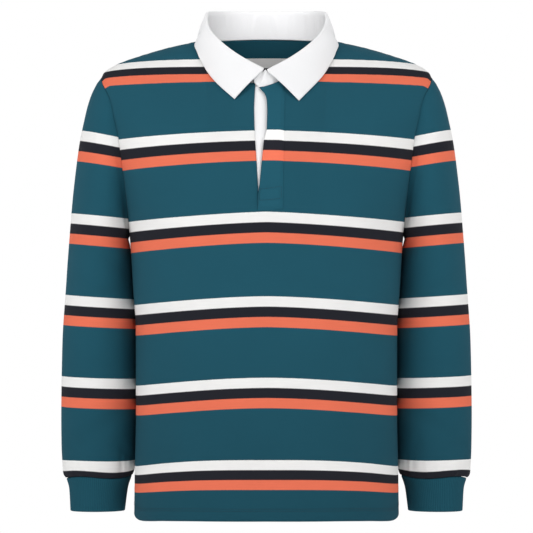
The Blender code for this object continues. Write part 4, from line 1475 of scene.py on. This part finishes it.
class Shader:
    """Adds nodes to a material and joins them."""

    def __init__(self, name):
        self.material = bpy.data.materials.get(name) or bpy.data.materials.new(name)
        self.material.use_nodes = True
        self.tree = self.material.node_tree
        self.tree.nodes.clear()
        self.surface = self.add("ShaderNodeBsdfPrincipled")
        output = self.add("ShaderNodeOutputMaterial")
        self.tree.links.new(self.surface.outputs["BSDF"], output.inputs["Surface"])

    def add(self, kind, inputs=None, **settings):
        node = self.tree.nodes.new(kind)
        for name, value in settings.items():
            setattr(node, name, value)
        for name, value in (inputs or {}).items():
            self.put(node.inputs[name], value)
        return node

    def put(self, socket, value):
        if isinstance(value, bpy.types.NodeSocket):
            self.tree.links.new(value, socket)
        else:
            socket.default_value = value

    def math(self, operation, *values):
        node = self.add("ShaderNodeMath", operation=operation)
        for socket, value in zip(node.inputs, values):
            self.put(socket, value)
        return node.outputs["Value"]

    def noise(self, vector, scale, detail=2.0):
        node = self.add("ShaderNodeTexNoise", {"Vector": vector, "Scale": scale, "Detail": detail})
        return node.outputs["Fac"]

    def mottle(self, vector, scale, low, high, detail=2.0):
        """Noise of the given fineness, between two values."""
        return self.ranged(self.noise(vector, scale, detail), low, high)

    def stretched(self, vector, x, y):
        node = self.add("ShaderNodeVectorMath", {0: vector, 1: (x, y, 1.0)}, operation="MULTIPLY")
        return node.outputs["Vector"]

    def ranged(self, value, low, high):
        node = self.add("ShaderNodeMapRange", {"Value": value, "To Min": low, "To Max": high})
        return node.outputs["Result"]

    def dye(self, dyed, shade):
        """Colour the surface with a colour times a grey shade."""
        grey = self.add("ShaderNodeCombineColor", {"Red": shade, "Green": shade, "Blue": shade})
        node = self.add("ShaderNodeMix", data_type="RGBA", blend_type="MULTIPLY")
        for socket, value in ((0, 1.0), (6, dyed), (7, grey.outputs["Color"])):
            self.put(node.inputs[socket], value)
        self.put(self.surface.inputs["Base Color"], node.outputs[2])

    def bump(self, height, strength, distance):
        node = self.add(
            "ShaderNodeBump", {"Height": height, "Strength": strength, "Distance": distance}
        )
        self.put(self.surface.inputs["Normal"], node.outputs["Normal"])

    def cloth_finish(self, roughness, sheen, sheen_roughness, specular):
        for name, value in (
            ("Roughness", roughness), ("Sheen Weight", sheen),
            ("Sheen Roughness", sheen_roughness), ("Specular IOR Level", specular),
        ):
            self.surface.inputs[name].default_value = value

    def flat_cloth(self):
        """The place on the flat cloth: the whole vector, across, and down, in metres."""
        place = self.add("ShaderNodeUVMap", uv_map="cloth").outputs["UV"]
        parts = self.add("ShaderNodeSeparateXYZ", {"Vector": place})
        return place, parts.outputs["X"], parts.outputs["Y"]

    def knit(self, across, down, wale, course):
        """Height of a plain knit: columns of slanting stitch legs."""
        column = self.math("FRACT", self.math("DIVIDE", across, wale))
        leg = self.math("ABSOLUTE", self.math("SUBTRACT", column, 0.5))
        slanted = self.math("ADD", self.math("DIVIDE", down, course), leg)
        row = self.math("SINE", self.math("MULTIPLY", slanted, 2 * math.pi))
        groove = self.math("COSINE", self.math("MULTIPLY", leg, 4 * math.pi))
        return self.math("MULTIPLY_ADD", row, 0.3, self.math("MULTIPLY", groove, -0.5))


def striped_jersey(name="striped_jersey", painted_light=1.0):
    jersey = bpy.context.scene.shirt_jersey
    shader = Shader(name)
    place, across, down = shader.flat_cloth()
    fuzzy = shader.math("ADD", down, shader.mottle(place, 700.0, -0.0003, 0.0003, 3.0))
    repeat = shader.math("FRACT", shader.math("DIVIDE", fuzzy, jersey.repeat))
    band, soft = jersey.stripe / jersey.repeat, STRIPE_EDGE
    ramp = shader.add("ShaderNodeValToRGB", {"Fac": repeat})
    stops = (
        (soft, jersey.light), (band - soft, jersey.light),
        (band + soft, jersey.dark), (2 * band - soft, jersey.dark),
        (2 * band + soft, jersey.warm), (3 * band - soft, jersey.warm),
        (3 * band + soft, jersey.ground), (1.0 - soft, jersey.ground),
    )
    elements = ramp.color_ramp.elements
    for position, stop in stops[1:-1]:
        elements.new(position).color = stop
    elements[0].position, elements[0].color = stops[0]
    elements[-1].position, elements[-1].color = stops[-1]
    heather = shader.mottle(place, 1400.0, 0.93, 1.07)
    streaks = shader.noise(shader.stretched(place, 30.0, 900.0), 1.0, 3.0)
    streaks = shader.ranged(streaks, 0.95, 1.05)
    broad = shader.mottle(place, 14.0, 0.95, 1.05, 3.0)
    shade = shader.math("MULTIPLY", heather, shader.math("MULTIPLY", streaks, broad))
    # Painted shade: the ground stripes are made darker towards the hem.
    lower = shader.math("DIVIDE", shader.math("SUBTRACT", down, PAINTED_SHADE_FROM), PAINTED_SHADE_REACH)
    lower = shader.math("MINIMUM", shader.math("MAXIMUM", lower, 0.0), 1.0)
    in_ground = shader.math("GREATER_THAN", repeat, 3 * band)
    painted_shade = shader.math("MULTIPLY", shader.math("MULTIPLY", lower, in_ground), PAINTED_SHADE_BY)
    # Painted light lifts the placket's copy of the jersey; painted shade darkens it towards the
    # hem.
    shade = shader.math("MULTIPLY", shade, shader.math("SUBTRACT", painted_light, painted_shade))
    shader.dye(ramp.outputs["Color"], shade)
    shader.cloth_finish(*JERSEY_FINISH)
    height = shader.knit(across, down, jersey.wale, jersey.course)
    height = shader.math("ADD", height, shader.noise(place, 2600.0))
    shader.bump(height, strength=0.55, distance=0.00025)
    return shader.material


def rib_knit():
    trim, jersey = bpy.context.scene.shirt_trim, bpy.context.scene.shirt_jersey
    shader = Shader("rib")
    place, across, down = shader.flat_cloth()
    turn = shader.math("MULTIPLY", across, 2 * math.pi / (RIB_PITCH * METRES))
    # Painted shade: the colour is darker in the grooves between the ribs.
    groove = shader.ranged(shader.math("COSINE", turn), 0.86, 1.08)
    heather = shader.mottle(place, 1400.0, 0.9, 1.1)
    shader.dye(tuple(trim.rib_colour), shader.math("MULTIPLY", groove, heather))
    shader.cloth_finish(*JERSEY_FINISH)
    height = shader.knit(across, down, RIB_PITCH * METRES, jersey.course)
    shader.bump(height, strength=0.5, distance=0.00025)
    return shader.material


def white_drill():
    trim = bpy.context.scene.shirt_trim
    shader = Shader("white_drill")
    place, across, down = shader.flat_cloth()
    diagonal = shader.math("DIVIDE", shader.math("ADD", across, down), trim.twill)
    twill = shader.math("SINE", shader.math("MULTIPLY", diagonal, 2 * math.pi))
    slub = shader.noise(shader.stretched(place, 300.0, 1600.0), 1.0)
    broad = shader.mottle(place, 22.0, 0.985, 1.015, 3.0)
    grain = shader.math("MULTIPLY", shader.ranged(slub, 0.975, 1.025), broad)
    shader.dye(tuple(trim.drill_colour), grain)
    shader.cloth_finish(*DRILL_FINISH)
    height = shader.math("MULTIPLY_ADD", twill, 0.35, slub)
    shader.bump(height, strength=0.4, distance=0.00018)
    return shader.material


def thread(name, dyed):
    shader = Shader(name)
    place = shader.add("ShaderNodeTexCoord").outputs["Object"]
    shade = shader.mottle(place, 2200.0, 0.85, 1.15)
    shader.dye(tuple(dyed), shade)
    shader.cloth_finish(*THREAD_FINISH)
    return shader.material


def pale_floor():
    stage = bpy.context.scene.shirt_stage
    shader = Shader("pale_floor")
    place = shader.add("ShaderNodeTexCoord").outputs["Object"]
    shade = shader.mottle(place, 3.0, 0.985, 1.015)
    shader.dye(tuple(stage.floor_colour), shade)
    shader.surface.inputs["Roughness"].default_value = 0.9
    return shader.material


def studio_room(walls, ceiling):
    """White walls all round at the height of the shirt, under a dimmer ceiling."""
    world = bpy.data.worlds.get("room") or bpy.data.worlds.new("room")
    world.use_nodes = True
    nodes, join = world.node_tree.nodes, world.node_tree.links.new
    light = nodes["Background"]
    light.inputs["Color"].default_value = (1.0, 1.0, 1.0, 1.0)
    way, parts = nodes.new("ShaderNodeTexCoord"), nodes.new("ShaderNodeSeparateXYZ")
    steepness = nodes.new("ShaderNodeMath")
    steepness.operation = "ABSOLUTE"
    fade = nodes.new("ShaderNodeMapRange")
    for end, steep, bright in zip(("Min", "Max"), WALL_FADE, (walls, ceiling)):
        fade.inputs[f"From {end}"].default_value = steep
        fade.inputs[f"To {end}"].default_value = bright
    join(way.outputs["Generated"], parts.inputs["Vector"])
    join(parts.outputs["Z"], steepness.inputs[0])
    join(steepness.outputs["Value"], fade.inputs["Value"])
    join(fade.outputs["Result"], light.inputs["Strength"])
    return world


def aimed_lamp(kind, name, place, at, power):
    """A lamp that shines from one place towards another."""
    bpy.ops.object.light_add(type=kind, location=place)
    lamp = bpy.context.object
    lamp.name = name
    lamp.data.energy = power
    towards = Vector(at) - Vector(place)
    lamp.rotation_euler = towards.to_track_quat("-Z", "Y").to_euler()
    return lamp.data


# Operators --------------------------------------------------------------------------------

class SHIRT_OT_panels(bpy.types.Operator):
    """Make the front and the back, with their folds, creases and seams"""

    bl_idname = "shirt.panels"
    bl_label = "Front and Back"

    def execute(self, context):
        jersey = striped_jersey()
        for node, side in (("front", -1), ("back", 1)):
            piece = panel(f"{node}_cloth", side, jersey)
            finish_piece(piece, node)
        return {"FINISHED"}


class SHIRT_OT_sleeves(bpy.types.Operator):
    """Make the two sleeves, set into the armholes and gathered at the wrists"""

    bl_idname = "shirt.sleeves"
    bl_label = "Sleeves"

    def execute(self, context):
        jersey = striped_jersey()
        for arm, hand in ((-1, "right"), (1, "left")):
            piece = sleeve(f"sleeve_{hand}_cloth", arm, jersey)
            finish_piece(piece, f"sleeve_{hand}")
        return {"FINISHED"}


class SHIRT_OT_cuffs(bpy.types.Operator):
    """Make the two ribbed cuffs"""

    bl_idname = "shirt.cuffs"
    bl_label = "Cuffs"

    def execute(self, context):
        rib = rib_knit()
        for arm, hand in ((-1, "right"), (1, "left")):
            piece = cuff(f"cuff_{hand}_rib", arm, rib)
            finish_piece(piece, f"cuff_{hand}")
        return {"FINISHED"}


class SHIRT_OT_placket(bpy.types.Operator):
    """Make the placket's striped band and the white under placket behind the slit"""

    bl_idname = "shirt.placket"
    bl_label = "Placket"

    def execute(self, context):
        # The band gets a lighter copy of the jersey, with painted light.
        band = placket_band(striped_jersey("placket_jersey_painted_light", PLACKET_PAINTED_LIGHT))
        finish_piece(band, "placket_band")
        under = placket_under(white_drill())
        finish_piece(under, "placket_under")
        return {"FINISHED"}


class SHIRT_OT_collar(bpy.types.Operator):
    """Make the collar's stand and the fall that folds over it"""

    bl_idname = "shirt.collar"
    bl_label = "Collar"

    def execute(self, context):
        drill = white_drill()
        thick = millimetres(context.scene.shirt_trim.drill)
        for part, shape in (("collar_stand", stand_points), ("collar_fall", fall_points)):
            outer, facing = shape()
            flat = grid_flat(outer)
            rim = np.full(outer.shape[:2], RIM_ROUNDING)
            rim[0] = 0.0
            piece = cloth_wall(
                f"{part}_cloth", outer, facing, thick, flat, drill, rounding_share=rim
            )
            finish_piece(piece, part)
        return {"FINISHED"}


class SHIRT_OT_stitching(bpy.types.Operator):
    """Sew the hem, the placket's box and the collar's edges with single stitches"""

    bl_idname = "shirt.stitching"
    bl_label = "Stitching"

    def execute(self, context):
        # The teal stitches' dark colour is the thread's own teal plus painted shade of their
        # dents.
        teal = thread("teal_thread_and_shade", context.scene.shirt_trim.thread_and_shade_colour)
        white = thread("white_thread", context.scene.shirt_trim.drill_colour)
        for name, lines, material, slot in (
            ("front_hem_stitches", hem_lines(-1), teal, "striped_jersey"),
            ("back_hem_stitches", hem_lines(1), teal, "striped_jersey"),
            ("placket_stitches", box_lines(), teal, "striped_jersey"),
            ("collar_fall_stitches", fall_lines(), white, "white_drill"),
            ("collar_stand_stitches", stand_lines(), white, "white_drill"),
        ):
            finish_piece(sewn_lines(name, lines, material))
        return {"FINISHED"}


class SHIRT_OT_stage(bpy.types.Operator):
    """Set the pale floor, the white room, the lamps and the camera"""

    bl_idname = "shirt.stage"
    bl_label = "Stage"

    def execute(self, context):
        scene = context.scene
        stage = scene.shirt_stage
        bpy.ops.object.select_all(action="DESELECT")
        bpy.ops.mesh.primitive_circle_add(
            vertices=96, radius=stage.floor_reach, fill_type="NGON",
            location=(0.0, 0.0, -stage.floor_drop),
        )
        floor = context.object
        floor.name = "floor"
        floor.data.materials.append(pale_floor())
        bpy.ops.object.transform_apply(location=True, rotation=True, scale=True)
        scene.world = studio_room(stage.walls, stage.ceiling)
        scene.view_settings.view_transform = "Standard"
        middle = (0.0, 0.0, stage.camera_height)
        for name, place, size, share in KEY_LAMPS:
            aimed_lamp("AREA", name, place, middle, stage.key * share).size = size
        beam = aimed_lamp("SPOT", "neck_lamp", NECK_LAMP, NECK_MIDDLE, stage.neck)
        beam.spot_size = math.radians(NECK_BEAM)
        beam.spot_blend = 0.35
        beam.shadow_soft_size = 0.05
        bpy.ops.object.camera_add(
            location=(0.0, -stage.camera_distance, stage.camera_height),
            rotation=(math.pi / 2, 0.0, 0.0),
        )
        camera = context.object
        camera.data.sensor_width = 36.0
        camera.data.lens = camera.data.sensor_width * stage.camera_distance / stage.view_width
        camera.data.clip_end = 100.0
        scene.camera = camera
        return {"FINISHED"}


class SHIRT_PT_panel(bpy.types.Panel):
    """The shirt's settings and the steps that make it"""

    bl_idname = "SHIRT_PT_panel"
    bl_label = "Rugby Shirt"
    bl_space_type = "VIEW_3D"
    bl_region_type = "UI"
    bl_category = "Rugby Shirt"

    def draw(self, context):
        layout = self.layout
        for group, steps in (
            (context.scene.shirt_jersey, (SHIRT_OT_panels, SHIRT_OT_sleeves)),
            (context.scene.shirt_trim, (
                SHIRT_OT_cuffs, SHIRT_OT_placket, SHIRT_OT_collar, SHIRT_OT_stitching,
            )),
            (context.scene.shirt_stage, (SHIRT_OT_stage,)),
        ):
            box = layout.box()
            for setting in group.bl_rna.properties:
                if setting.identifier not in ("rna_type", "name"):
                    box.prop(group, setting.identifier)
            for step in steps:
                box.operator(step.bl_idname)


CLASSES = (
    JerseySettings, TrimSettings, StageSettings, SHIRT_OT_panels, SHIRT_OT_sleeves,
    SHIRT_OT_cuffs, SHIRT_OT_placket, SHIRT_OT_collar, SHIRT_OT_stitching, SHIRT_OT_stage,
    SHIRT_PT_panel,
)


def register():
    for each in CLASSES:
        bpy.utils.register_class(each)
    bpy.types.Scene.shirt_jersey = PointerProperty(type=JerseySettings)
    bpy.types.Scene.shirt_trim = PointerProperty(type=TrimSettings)
    bpy.types.Scene.shirt_stage = PointerProperty(type=StageSettings)


def unregister():
    del bpy.types.Scene.shirt_stage
    del bpy.types.Scene.shirt_trim
    del bpy.types.Scene.shirt_jersey
    for each in reversed(CLASSES):
        bpy.utils.unregister_class(each)


def main():
    register()
    bpy.ops.shirt.panels()
    bpy.ops.shirt.sleeves()
    bpy.ops.shirt.cuffs()
    bpy.ops.shirt.placket()
    bpy.ops.shirt.collar()
    bpy.ops.shirt.stitching()
    bpy.ops.shirt.stage()


if __name__ == "__main__":
    main()
